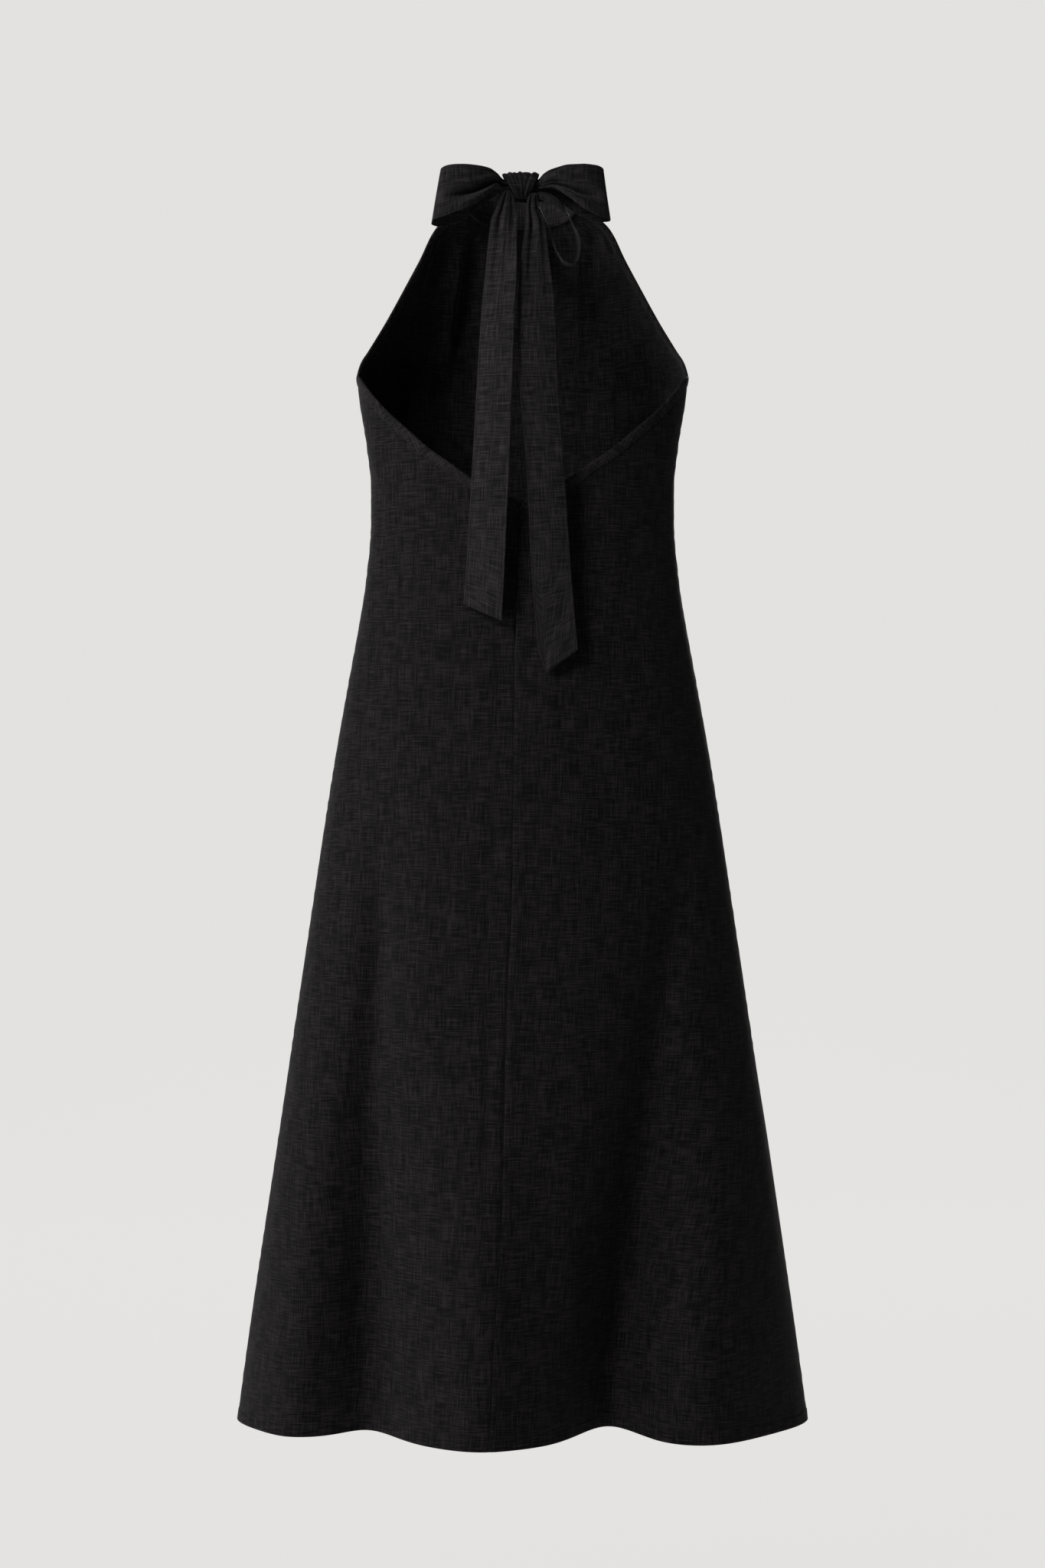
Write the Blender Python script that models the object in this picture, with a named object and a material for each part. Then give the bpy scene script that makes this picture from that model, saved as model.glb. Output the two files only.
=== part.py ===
"""Halter dress with a bow tied at the back of the neck, as thin solid cloth pieces in metres.

The dress stands filled out and hollow. Plus X is the wearer's right, plus Y the wearer's front
and plus Z is up. The origin is where the neck band hangs on the wearer, behind the bow's knot.
Sizes in the tables are millimetres and are turned into metres where the meshes are made.
"""
import math
from bisect import bisect_right
from typing import NamedTuple, Sequence

import bmesh
import bpy
from mathutils import Vector

METRES_PER_MM = 0.001

# Cloth and sewing sizes
CLOTH_WALL = 1.4
TIE_WALL = 1.5
BAND_WALL = 2.0
BINDING_WALL = 1.0
SEAM_GAP = 0.4
NECK_JOIN_GAP = 0.9
BINDING_WIDTH = 8.0
BINDING_START = 2.6
BINDING_END_GAP = 0.5
WELD_DISTANCE = 0.00001

# Heights of the body's landmarks
UNDERARM_HEIGHT = -190.0
HEM_HEIGHT = -1303.0

# Number of cells in each piece's grid
FRONT_COLUMNS = 44
FRONT_ROWS = 26
YOKE_ROW_COUNT = 12
YOKE_ROW_CROWDING = 1.3
BACK_COLUMNS = 19
BACK_ROWS = 22
FRONT_ROW_CROWDING = 1.12
BACK_ROW_CROWDING = 1.15
BAND_STATIONS = 34
LOOP_STATIONS = 21
TAIL_STATIONS = 18
TAIL_STATION_CROWDING = 1.45
TAIL_COLUMNS = 6
KNOT_STATIONS = 20
KNOT_COLUMNS = 6

NEAR_BLACK = (0.013, 0.0125, 0.012, 1.0)
CLOTH_ROUGHNESS = 0.88


class Section(NamedTuple):
    """One level section of the body below the underarm."""

    height: float
    half_width: float
    front_depth: float
    back_depth: float


SECTIONS = (
    Section(-190.0, 176.6, 128.5, 95.0),
    Section(-212.0, 174.7, 130.5, 94.0),
    Section(-261.0, 166.9, 132.0, 92.0),
    Section(-310.0, 161.9, 129.0, 89.0),
    Section(-345.0, 161.9, 125.0, 88.5),
    Section(-409.0, 167.3, 123.0, 93.0),
    Section(-458.0, 175.1, 124.0, 98.0),
    Section(-507.0, 184.1, 126.0, 104.0),
    Section(-605.0, 201.3, 131.0, 114.0),
    Section(-802.0, 231.2, 141.0, 128.0),
    Section(-999.0, 260.3, 150.0, 139.0),
    Section(-1196.0, 289.9, 160.0, 147.0),
    Section(-1303.0, 304.6, 165.0, 152.0),
)


class YokeRow(NamedTuple):
    """One row of the front above the underarm, from armhole edge to centre."""

    edge_half_width: float
    edge_depth: float
    edge_height: float
    centre_depth: float
    centre_height: float
    half_turn: float


YOKE_ROWS = (
    YokeRow(76.0, 23.0, -13.0, 72.0, -37.0, 70.0),
    YokeRow(93.0, 28.0, -27.0, 82.0, -52.0, 64.0),
    YokeRow(110.0, 31.0, -60.0, 97.0, -80.0, 63.0),
    YokeRow(127.5, 29.0, -93.0, 108.5, -107.0, 65.0),
    YokeRow(145.0, 24.0, -126.0, 117.5, -134.0, 69.0),
    YokeRow(163.5, 13.0, -159.0, 124.5, -163.0, 77.0),
    YokeRow(173.0, 5.0, -176.0, 127.0, -178.0, 84.0),
)


class Fold(NamedTuple):
    """A hanging fold: outward reach at the hem, where it lies and where it dies out."""

    hem_x: float
    top_x: float
    width: float
    reach: float
    top_height: float
    hem_lift: float


BACK_FOLDS = (
    Fold(-250.0, -215.0, 32.0, 16.0, -760.0, 0.0),
    Fold(-160.0, -150.0, 38.0, -38.0, -600.0, 4.0),
    Fold(-45.0, -40.0, 60.0, 36.0, -820.0, 0.0),
    Fold(88.0, 172.0, 42.0, -54.0, -620.0, 8.0),
    Fold(200.0, 225.0, 60.0, 34.0, -800.0, 0.0),
)
FRONT_FOLDS = (
    Fold(-215.0, -200.0, 52.0, 26.0, -780.0, 0.0),
    Fold(-112.0, -134.0, 40.0, -36.0, -620.0, 6.0),
    Fold(-8.0, 0.0, 58.0, 30.0, -860.0, 0.0),
    Fold(104.0, 122.0, 42.0, -40.0, -650.0, 6.0),
    Fold(208.0, 196.0, 54.0, 28.0, -800.0, 0.0),
)


class HeightPoint(NamedTuple):
    """A value that belongs to a place along an edge or a seam."""

    place: float
    value: float


# Height of the back neckline by turn from the side seam (0 degrees) to the centre (90 degrees)
BACK_NECKLINE = (
    HeightPoint(0.0, -190.0), HeightPoint(10.0, -193.5), HeightPoint(23.0, -211.7),
    HeightPoint(34.0, -233.0), HeightPoint(45.0, -254.7), HeightPoint(54.5, -275.0),
    HeightPoint(63.4, -291.0), HeightPoint(70.5, -305.0), HeightPoint(90.0, -332.5),
)
# Sideways place of the centre back seam by depth below the neck
CENTRE_SEAM = (
    HeightPoint(190.0, -3.6), HeightPoint(332.0, -3.6), HeightPoint(495.0, -8.0),
    HeightPoint(750.0, -11.0), HeightPoint(845.0, -16.0), HeightPoint(1084.0, -22.0),
    HeightPoint(1200.0, -29.0), HeightPoint(1303.0, -34.0),
)


class BandPoint(NamedTuple):
    """The neck band's lower edge and height, by turn from the front centre."""

    turn: float
    lower_height: float
    band_height: float


NECK_BAND = (
    BandPoint(0.0, -22.0, 30.0), BandPoint(45.0, -18.0, 30.0), BandPoint(76.0, -8.0, 29.0),
    BandPoint(95.0, -5.0, 26.5), BandPoint(120.0, -6.5, 25.0), BandPoint(148.0, -10.0, 24.0),
    BandPoint(165.0, -13.5, 23.0), BandPoint(174.0, -14.5, 22.5),
)
NECK_HALF_WIDTH = 61.0
NECK_FRONT_DEPTH = 61.5
NECK_BACK_DEPTH = 66.2
FRONT_JOIN_TURN = 76.0
BAND_INFLUENCE = 0.25
# Shares of the band's height at its rows, from its upper edge down
BAND_SHARES = (1.0, 0.66, 0.33, 0.0)

# Gathers where the front is sewn to the neck band
GATHER_COUNT = 11
GATHER_HEIGHT = 2.0
GATHER_FADE = 0.42
SOFT_FOLD_COUNT = 5
SOFT_FOLD_HEIGHT = 1.6
SOFT_FOLD_PHASE = 0.7
SOFT_FOLD_START = 0.1
SOFT_FOLD_FULL = 0.25
ARMHOLE_SMOOTH_SHARE = 0.14
GATHER_CENTRE_DEPTH = -40.0

# The folds die out towards the side seams, over this share of the turn's sine
SIDE_FADE = 0.3


class RibbonPoint(NamedTuple):
    """Both edges of a ribbon at one station; depth is measured out from the neck."""

    upper_x: float
    upper_z: float
    lower_x: float
    lower_z: float
    upper_depth: float
    lower_depth: float
    pleat: float


LEFT_LOOP = (
    RibbonPoint(-12.0, 3.8, -11.0, -3.0, 85.0, 85.0, 0.1),
    RibbonPoint(-20.5, 6.0, -20.0, -4.0, 88.4, 88.4, 0.3),
    RibbonPoint(-27.0, 11.0, -26.5, -3.0, 97.0, 96.5, 0.9),
    RibbonPoint(-35.0, 14.8, -34.0, -10.0, 104.0, 102.0, 1.0),
    RibbonPoint(-50.0, 17.2, -50.0, -22.7, 109.0, 107.0, 1.0),
    RibbonPoint(-66.0, 18.0, -67.0, -30.5, 110.0, 109.0, 0.8),
    RibbonPoint(-79.0, 17.0, -84.0, -36.5, 106.0, 107.0, 0.35),
    RibbonPoint(-85.0, 14.8, -94.0, -38.5, 97.0, 98.0, 0.0),
    RibbonPoint(-85.5, 12.5, -94.5, -40.5, 87.0, 88.0, 0.0),
    RibbonPoint(-78.0, 12.0, -86.0, -42.0, 79.0, 79.0, 0.0),
    RibbonPoint(-62.0, 12.0, -66.0, -36.0, 77.0, 76.0, 0.0),
    RibbonPoint(-46.0, 12.0, -46.0, -22.0, 77.0, 76.0, 0.2),
    RibbonPoint(-30.0, 10.0, -28.0, -9.0, 78.0, 78.0, 0.3),
    RibbonPoint(-20.0, 6.6, -19.5, -5.0, 79.0, 79.0, 0.3),
    RibbonPoint(-12.0, 4.5, -11.0, -4.0, 79.5, 79.5, 0.2),
)
RIGHT_LOOP = (
    RibbonPoint(10.0, 3.8, 9.0, -3.0, 85.0, 85.0, 0.1),
    RibbonPoint(16.8, 5.8, 16.0, -3.4, 87.5, 87.5, 0.3),
    RibbonPoint(22.5, 9.9, 22.0, -4.4, 97.0, 96.5, 0.9),
    RibbonPoint(30.5, 13.6, 30.0, -4.9, 104.0, 102.0, 1.0),
    RibbonPoint(46.4, 17.2, 46.4, -14.0, 109.0, 107.0, 1.0),
    RibbonPoint(62.0, 18.0, 62.5, -27.0, 110.0, 109.0, 0.8),
    RibbonPoint(76.0, 17.6, 79.0, -35.0, 106.0, 107.0, 0.35),
    RibbonPoint(83.5, 14.8, 90.8, -37.0, 97.0, 98.0, 0.0),
    RibbonPoint(84.0, 12.5, 91.0, -37.5, 87.0, 88.0, 0.0),
    RibbonPoint(76.0, 12.0, 82.0, -37.0, 79.0, 79.0, 0.0),
    RibbonPoint(60.0, 12.0, 62.0, -31.0, 77.0, 76.0, 0.0),
    RibbonPoint(44.0, 12.0, 44.0, -19.0, 77.0, 76.0, 0.2),
    RibbonPoint(28.0, 10.0, 27.0, -8.0, 78.0, 78.0, 0.3),
    RibbonPoint(17.0, 6.6, 16.0, -4.4, 79.0, 79.0, 0.3),
    RibbonPoint(10.0, 4.5, 9.0, -3.6, 79.5, 79.5, 0.2),
)
# The third loop hangs open to the right; upper means its edge away from the viewer of the bow
SMALL_LOOP = (
    RibbonPoint(9.6, -6.0, 8.7, -10.9, 83.0, 86.5, 0.0),
    RibbonPoint(24.5, -8.0, 24.8, -19.0, 88.0, 99.0, 0.0),
    RibbonPoint(35.5, -14.0, 36.0, -25.6, 91.0, 104.0, 0.0),
    RibbonPoint(44.5, -25.0, 46.0, -34.6, 86.0, 105.0, 0.0),
    RibbonPoint(51.0, -37.0, 53.2, -44.5, 80.0, 105.5, 0.0),
    RibbonPoint(56.0, -50.0, 58.9, -56.0, 75.0, 105.5, 0.0),
    RibbonPoint(58.0, -63.0, 60.4, -67.0, 73.0, 105.5, 0.0),
    RibbonPoint(56.0, -76.0, 58.0, -79.0, 73.0, 105.5, 0.0),
    RibbonPoint(51.0, -82.0, 52.0, -85.0, 73.0, 105.5, 0.0),
    RibbonPoint(43.0, -80.0, 43.5, -82.5, 74.0, 105.0, 0.0),
    RibbonPoint(37.0, -71.0, 36.8, -73.0, 75.0, 104.0, 0.0),
    RibbonPoint(31.8, -56.0, 31.0, -58.0, 77.0, 102.0, 0.0),
    RibbonPoint(26.0, -40.0, 25.0, -43.0, 79.0, 99.0, 0.0),
    RibbonPoint(20.0, -26.0, 19.0, -29.0, 80.0, 94.0, 0.0),
    RibbonPoint(12.5, -15.0, 12.6, -18.0, 82.0, 89.0, 0.0),
)


class TailPoint(NamedTuple):
    """One level of a hanging tie end, between its left and right edges."""

    height: float
    left_x: float
    right_x: float
    depth: float
    pleat: float


LEFT_TAIL = (
    TailPoint(-6.5, -17.8, -12.6, 93.0, 0.1),
    TailPoint(-13.0, -21.5, -9.8, 97.0, 1.0),
    TailPoint(-26.0, -27.0, -7.6, 103.0, 1.2),
    TailPoint(-40.0, -32.6, -6.0, 105.0, 1.0),
    TailPoint(-77.0, -36.9, -5.6, 106.0, 0.5),
    TailPoint(-139.0, -42.7, -8.1, 106.0, 0.2),
    TailPoint(-257.0, -50.0, -12.1, 105.0, 0.0),
    TailPoint(-360.0, -56.0, -16.7, 105.0, 0.0),
    TailPoint(-438.0, -61.2, -20.7, 109.0, 0.0),
)
RIGHT_TAIL = (
    TailPoint(-9.2, 10.0, 15.5, 91.6, 0.1),
    TailPoint(-15.0, 6.0, 15.6, 98.5, 1.0),
    TailPoint(-26.0, 4.1, 16.4, 103.0, 1.2),
    TailPoint(-41.0, 3.4, 22.8, 106.0, 1.0),
    TailPoint(-77.0, -1.2, 27.4, 107.5, 0.6),
    TailPoint(-133.0, -4.7, 33.9, 107.5, 0.2),
    TailPoint(-193.0, -3.8, 36.1, 107.0, 0.0),
    TailPoint(-307.0, 4.6, 43.9, 106.0, 0.0),
    TailPoint(-412.0, 9.8, 51.1, 108.0, 0.0),
    TailPoint(-486.0, 16.4, 57.7, 113.0, 0.0),
)


class TailTip(NamedTuple):
    """A tie end's slanted point: where across it lies, 0 left to 1 right, and how far it drops."""

    share: float
    drop: float


LEFT_TAIL_TIP = TailTip(1.0, 19.0)
RIGHT_TAIL_TIP = TailTip(0.2, 24.5)
TAIL_TIP_START = 0.75
TAIL_BOW_OUT = 1.5
TAIL_BOW_START = 0.3
# How much further out a tail's right edge lies for each millimetre across, below the gathers
LEFT_TAIL_LEAN = 0.30
RIGHT_TAIL_LEAN = 0.08
TAIL_LEAN_START = 0.22

# The knot is a band wrapped round the roots of the loops
KNOT_DEPTH = 82.0
KNOT_HEIGHT = -1.0
KNOT_HALF_DEPTH = 13.7
KNOT_HALF_HEIGHT = 11.8
KNOT_LEFT = -14.5
KNOT_LEFT_SLANT = -6.5
KNOT_RIGHT = 12.3
KNOT_RIGHT_SLANT = 4.8
KNOT_GATHER_HEIGHT = 0.5
KNOT_EDGE_TUCK = -1.2

# Outward shape across a gathered ribbon, from one edge to the other
LOOP_PLEATS = (0.0, 2.2, 2.6, 1.0, -2.6, -2.2, 1.4, 1.6, 0.0)
TAIL_PLEATS = (0.0, 1.2, -1.0, 1.6, 1.2, -0.8, 0.0)
PLAIN_RIBBON = (0.0, 0.0, 0.0, 0.0, 0.0)


class Curve:
    """A smooth curve through a table's values that never overshoots them."""

    def __init__(self, places: Sequence[float], values: Sequence[float]) -> None:
        pairs = sorted(zip(places, values))
        self.places = [pair[0] for pair in pairs]
        self.values = [pair[1] for pair in pairs]
        self.slopes = self._slopes()

    def _slopes(self) -> list[float]:
        steps = [right - left for left, right in zip(self.places, self.places[1:])]
        rises = [right - left for left, right in zip(self.values, self.values[1:])]
        chords = [rise / step for rise, step in zip(rises, steps)]
        slopes = [chords[0]]
        for before, after in zip(chords, chords[1:]):
            same_way = before * after > 0.0
            slopes.append(2.0 * before * after / (before + after) if same_way else 0.0)
        slopes.append(chords[-1])
        return slopes

    def __call__(self, place: float) -> float:
        last = len(self.places) - 2
        index = min(max(bisect_right(self.places, place) - 1, 0), last)
        step = self.places[index + 1] - self.places[index]
        part = min(max((place - self.places[index]) / step, 0.0), 1.0)
        square = part * part
        cube = square * part
        start = (2.0 * cube - 3.0 * square + 1.0) * self.values[index]
        end = (3.0 * square - 2.0 * cube) * self.values[index + 1]
        lean_start = (cube - 2.0 * square + part) * step * self.slopes[index]
        lean_end = (cube - square) * step * self.slopes[index + 1]
        return start + end + lean_start + lean_end


def table_curve(rows: Sequence[NamedTuple], place: str, value: str) -> Curve:
    """A curve of one named column of a table against another."""
    return Curve([getattr(row, place) for row in rows], [getattr(row, value) for row in rows])


def smooth_step(part: float) -> float:
    """A soft step from 0 to 1."""
    part = min(max(part, 0.0), 1.0)
    return part * part * (3.0 - 2.0 * part)


half_width_at = table_curve(SECTIONS, "height", "half_width")
front_depth_at = table_curve(SECTIONS, "height", "front_depth")
back_depth_at = table_curve(SECTIONS, "height", "back_depth")
neckline_at = table_curve(BACK_NECKLINE, "place", "value")
seam_x_by_drop = table_curve(CENTRE_SEAM, "place", "value")
band_lower_at = table_curve(NECK_BAND, "turn", "lower_height")
band_height_at = table_curve(NECK_BAND, "turn", "band_height")


def seam_x_at(height: float) -> float:
    """Sideways place of the centre back seam at a height."""
    return seam_x_by_drop(-height)


def fold_reach(folds: Sequence[Fold], x: float, height: float) -> float:
    """How far the folds push the cloth outward at one place."""
    total = 0.0
    for fold in folds:
        down = (fold.top_height - height) / (fold.top_height - HEM_HEIGHT)
        if down <= 0.0:
            continue
        centre = fold.top_x + (fold.hem_x - fold.top_x) * min(down, 1.0)
        offset = (x - centre) / fold.width
        total += fold.reach * smooth_step(down) * math.exp(-offset * offset)
    return total


def hem_height(folds: Sequence[Fold], x: float) -> float:
    """Height of the hem, which is pulled up a little where a fold turns in."""
    lift = 0.0
    for fold in folds:
        offset = (x - fold.hem_x) / fold.width
        lift += fold.hem_lift * math.exp(-offset * offset)
    return HEM_HEIGHT + lift


def body_point(turn: float, height: float, is_front: bool) -> Vector:
    """A point of the body's middle surface.

    Args:
        turn: angle in radians from the left side seam, through the front or the back.
        height: height of the point.
        is_front: whether the turn goes through the front.

    Returns:
        The point in millimetres.
    """
    half_width = half_width_at(height)
    x = -half_width * math.cos(turn)
    depth_at = front_depth_at if is_front else back_depth_at
    folds = FRONT_FOLDS if is_front else BACK_FOLDS
    side_fade = smooth_step(math.sin(turn) / SIDE_FADE)
    depth = depth_at(height) * math.sin(turn) + fold_reach(folds, x, height) * side_fade
    return Vector((x, depth if is_front else -depth, height))


def neck_point(turn: float, lift: float = 0.0) -> Vector:
    """A point on the neck band's lower edge, by turn in degrees from the front centre."""
    angle = math.radians(turn)
    reach = NECK_FRONT_DEPTH if math.cos(angle) > 0.0 else NECK_BACK_DEPTH
    height = band_lower_at(abs(turn)) + lift
    return Vector((NECK_HALF_WIDTH * math.sin(angle), reach * math.cos(angle), height))


def yoke_curves() -> tuple[Curve, ...]:
    """Curves of the yoke rows' columns, from the neck (0) to the underarm (1)."""
    join = neck_point(FRONT_JOIN_TURN, -NECK_JOIN_GAP)
    centre = neck_point(0.0, -NECK_JOIN_GAP)
    first = YokeRow(join.x, join.y, join.z, centre.y, centre.z, FRONT_JOIN_TURN)
    top = SECTIONS[0]
    last = YokeRow(top.half_width, 0.0, top.height, top.front_depth, top.height, 90.0)
    rows = (first, *YOKE_ROWS, last)
    drops = [first.edge_height - row.edge_height for row in rows]
    places = [drop / drops[-1] for drop in drops]
    return tuple(Curve(places, [row[column] for row in rows]) for column in range(len(first)))


YOKE_CURVES = yoke_curves()


def yoke_point(across: float, place: float) -> Vector:
    """A point of the front above the underarm, whose top row follows the neck band.

    Args:
        across: -1 at the left armhole edge to 1 at the right one.
        place: 0 at the neck band to 1 at the underarm.

    Returns:
        The point in millimetres.
    """
    band_share = 1.0 - smooth_step(place / BAND_INFLUENCE)
    band_offset = neck_point(FRONT_JOIN_TURN * across, -NECK_JOIN_GAP) - yoke_row_point(across, 0.0)
    return yoke_row_point(across, place) + band_offset * band_share


def yoke_row_point(across: float, place: float) -> Vector:
    """A point on the yoke's table rows, before the top one is fitted to the neck band."""
    edge_x, edge_y, edge_z, centre_y, centre_z, half_turn = (curve(place) for curve in YOKE_CURVES)
    limit = math.radians(half_turn)
    turn = across * limit
    x = edge_x * math.sin(turn) / math.sin(limit)
    rise = (math.cos(turn) - math.cos(limit)) / (1.0 - math.cos(limit))
    y = edge_y + (centre_y - edge_y) * rise
    z = edge_z + (centre_z - edge_z) * rise
    return Vector((x, y, z))


def gather_reach(across: float, place: float) -> float:
    """Outward reach of the neck gathers and of the soft folds that they run into."""
    edge_fade = smooth_step((1.0 - abs(across)) / ARMHOLE_SMOOTH_SHARE)
    fine_fade = 1.0 - smooth_step(place / GATHER_FADE)
    soft_rise = smooth_step(place / SOFT_FOLD_START)
    soft_fade = soft_rise * (1.0 - smooth_step((place - SOFT_FOLD_FULL) / (1.0 - SOFT_FOLD_FULL)))
    fine = math.cos(math.pi * GATHER_COUNT * across) * GATHER_HEIGHT * fine_fade
    wave = math.sin(math.pi * SOFT_FOLD_COUNT * across + SOFT_FOLD_PHASE)
    soft = wave * SOFT_FOLD_HEIGHT * soft_fade
    return edge_fade * (fine + soft)


def front_rows() -> list[list[Vector]]:
    """Rows of the front's middle surface from the neck to the hem."""
    rows = []
    for row in range(YOKE_ROW_COUNT):
        place = 1.0 - (1.0 - row / YOKE_ROW_COUNT) ** YOKE_ROW_CROWDING
        line = []
        for column in range(FRONT_COLUMNS + 1):
            across = -1.0 + 2.0 * column / FRONT_COLUMNS
            point = yoke_point(across, place)
            outward = Vector((point.x, point.y - GATHER_CENTRE_DEPTH, 0.0))
            line.append(point + outward.normalized() * gather_reach(across, place))
        rows.append(line)
    skirt_count = FRONT_ROWS - YOKE_ROW_COUNT
    for row in range(skirt_count + 1):
        part = row / skirt_count
        line = []
        for column in range(FRONT_COLUMNS + 1):
            turn = math.pi * column / FRONT_COLUMNS
            bottom = hem_height(FRONT_FOLDS, -half_width_at(HEM_HEIGHT) * math.cos(turn))
            height = UNDERARM_HEIGHT + (bottom - UNDERARM_HEIGHT) * part ** FRONT_ROW_CROWDING
            line.append(body_point(turn, height, True))
        rows.append(line)
    return rows


def back_rows(side: int) -> list[list[Vector]]:
    """Rows of one back's middle surface, from the neckline to the hem.

    Args:
        side: -1 for the left back and 1 for the right back.

    Returns:
        Rows of points from the side seam to the centre back seam.
    """
    rows = []
    for row in range(BACK_ROWS + 1):
        part = (row / BACK_ROWS) ** BACK_ROW_CROWDING
        line = []
        for column in range(BACK_COLUMNS + 1):
            share = column / BACK_COLUMNS
            top = neckline_at(90.0 * share)
            hem_turn = share * math.acos(side * seam_x_at(HEM_HEIGHT) / half_width_at(HEM_HEIGHT))
            hem_x = side * half_width_at(HEM_HEIGHT) * math.cos(hem_turn)
            height = top + (hem_height(BACK_FOLDS, hem_x) - top) * part
            seam_turn = math.acos(side * seam_x_at(height) / half_width_at(height))
            turn = share * seam_turn
            left_turn = turn if side < 0 else math.pi - turn
            line.append(body_point(left_turn, height, False))
        rows.append(line)
    return rows


class Sheet:
    """A cloth piece: a grid laid on its middle surface, then thickened both ways."""

    def __init__(self, name: str, rows: list[list[Vector]], wall: float, closed: bool = False) -> None:
        """Keep what the piece is made from.

        Args:
            name: the piece's name.
            rows: its middle surface in millimetres, a list of points for each row.
            wall: its thickness.
            closed: whether the last row is the first one again, as in a ring.
        """
        self.name = name
        self.rows = rows
        self.wall = wall
        self.closed = closed

    def build(self) -> bpy.types.Object:
        """Make the object, with its Solidify modifier and its own cloth material."""
        shape = bmesh.new()
        columns = len(self.rows[0])
        grid = bmesh.ops.create_grid(shape, x_segments=columns - 1, y_segments=len(self.rows) - 1)
        for index, vert in enumerate(grid["verts"]):
            vert.co = self.rows[index // columns][index % columns] * METRES_PER_MM
        if self.closed:
            bmesh.ops.remove_doubles(shape, verts=shape.verts, dist=WELD_DISTANCE)
        for face in shape.faces:
            face.smooth = True
        mesh = bpy.data.meshes.new(self.name)
        shape.to_mesh(mesh)
        shape.free()
        mesh.materials.append(self.cloth_material())
        piece = bpy.data.objects.new(self.name, mesh)
        bpy.context.scene.collection.objects.link(piece)
        solidify = piece.modifiers.new("Cloth wall", "SOLIDIFY")
        solidify.thickness = self.wall * METRES_PER_MM
        solidify.offset = 0.0
        return piece

    def cloth_material(self) -> bpy.types.Material:
        """A near black, matt linen."""
        material = bpy.data.materials.new(f"linen_{self.name}")
        material.use_nodes = True
        shader = material.node_tree.nodes["Principled BSDF"]
        shader.inputs["Base Color"].default_value = NEAR_BLACK
        shader.inputs["Roughness"].default_value = CLOTH_ROUGHNESS
        shader.inputs["Metallic"].default_value = 0.0
        return material


def ribbon_rows(
    points: Sequence[RibbonPoint],
    stations: int,
    pleats: Sequence[float],
) -> list[list[Vector]]:
    """The middle surface of a looped ribbon, smooth through its table.

    Args:
        points: the ribbon's stations from one end to the other.
        stations: number of cells along the ribbon.
        pleats: outward shape across the ribbon, before each station's own share.

    Returns:
        Rows of points from the upper edge to the lower edge.
    """
    columns = len(pleats) - 1
    lengths = [0.0]
    for before, after in zip(points, points[1:]):
        step = Vector((
            after.lower_x - before.lower_x,
            after.lower_depth - before.lower_depth,
            after.lower_z - before.lower_z,
        ))
        lengths.append(lengths[-1] + step.length)
    curves = [Curve(lengths, [point[column] for point in points]) for column in range(7)]
    rows = []
    for station in range(stations + 1):
        place = lengths[-1] * station / stations
        upper_x, upper_z, lower_x, lower_z, upper_depth, lower_depth, pleat = (
            curve(place) for curve in curves
        )
        upper = Vector((upper_x, -upper_depth, upper_z))
        lower = Vector((lower_x, -lower_depth, lower_z))
        rows.append([
            upper.lerp(lower, column / columns) + Vector((0.0, -pleats[column] * pleat, 0.0))
            for column in range(columns + 1)
        ])
    return rows


def tail_rows(points: Sequence[TailPoint], tip: TailTip, lean: float) -> list[list[Vector]]:
    """The middle surface of a hanging tie end with a slanted point.

    Args:
        points: the tail's levels from top to bottom.
        tip: its slanted point.
        lean: how much further out its right edge lies, for each millimetre across.

    Returns:
        Rows of points from the left edge to the right edge.
    """
    columns = ("left_x", "right_x", "depth", "pleat")
    curves = [table_curve(points, "height", column) for column in columns]
    top = points[0].height
    bottom = points[-1].height
    rows = []
    for station in range(TAIL_STATIONS + 1):
        part = (station / TAIL_STATIONS) ** TAIL_STATION_CROWDING
        line = []
        for column in range(TAIL_COLUMNS + 1):
            share = column / TAIL_COLUMNS
            near_tip = share / tip.share if share <= tip.share else (1.0 - share) / (1.0 - tip.share)
            drop = tip.drop * near_tip * smooth_step((part - TAIL_TIP_START) / (1.0 - TAIL_TIP_START))
            height = top + (bottom - top) * part
            left_x, right_x, depth, pleat = (curve(height) for curve in curves)
            x = left_x + (right_x - left_x) * share
            bow_out = TAIL_BOW_OUT * math.sin(math.pi * share) * smooth_step(part / TAIL_BOW_START)
            turned = lean * (right_x - left_x) * (share - 0.5) * smooth_step(part / TAIL_LEAN_START)
            y = -depth - TAIL_PLEATS[column] * pleat - bow_out - turned
            line.append(Vector((x, y, height - drop)))
        rows.append(line)
    return rows


def knot_rows() -> list[list[Vector]]:
    """The middle surface of the knot's wrapped band, whose last row is its first again."""
    rows = []
    for station in range(KNOT_STATIONS + 1):
        turn = 2.0 * math.pi * station / KNOT_STATIONS
        left = KNOT_LEFT + KNOT_LEFT_SLANT * math.sin(turn)
        right = KNOT_RIGHT + KNOT_RIGHT_SLANT * math.sin(turn)
        line = []
        for column in range(KNOT_COLUMNS + 1):
            share = column / KNOT_COLUMNS
            swell = KNOT_GATHER_HEIGHT * (1.0 if column % 2 else -1.0)
            if column in (0, KNOT_COLUMNS):
                swell = KNOT_EDGE_TUCK
            line.append(Vector((
                left + (right - left) * share,
                -KNOT_DEPTH - (KNOT_HALF_DEPTH + swell) * math.cos(turn),
                KNOT_HEIGHT + (KNOT_HALF_HEIGHT + swell) * math.sin(turn),
            )))
        rows.append(line)
    return rows


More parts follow.
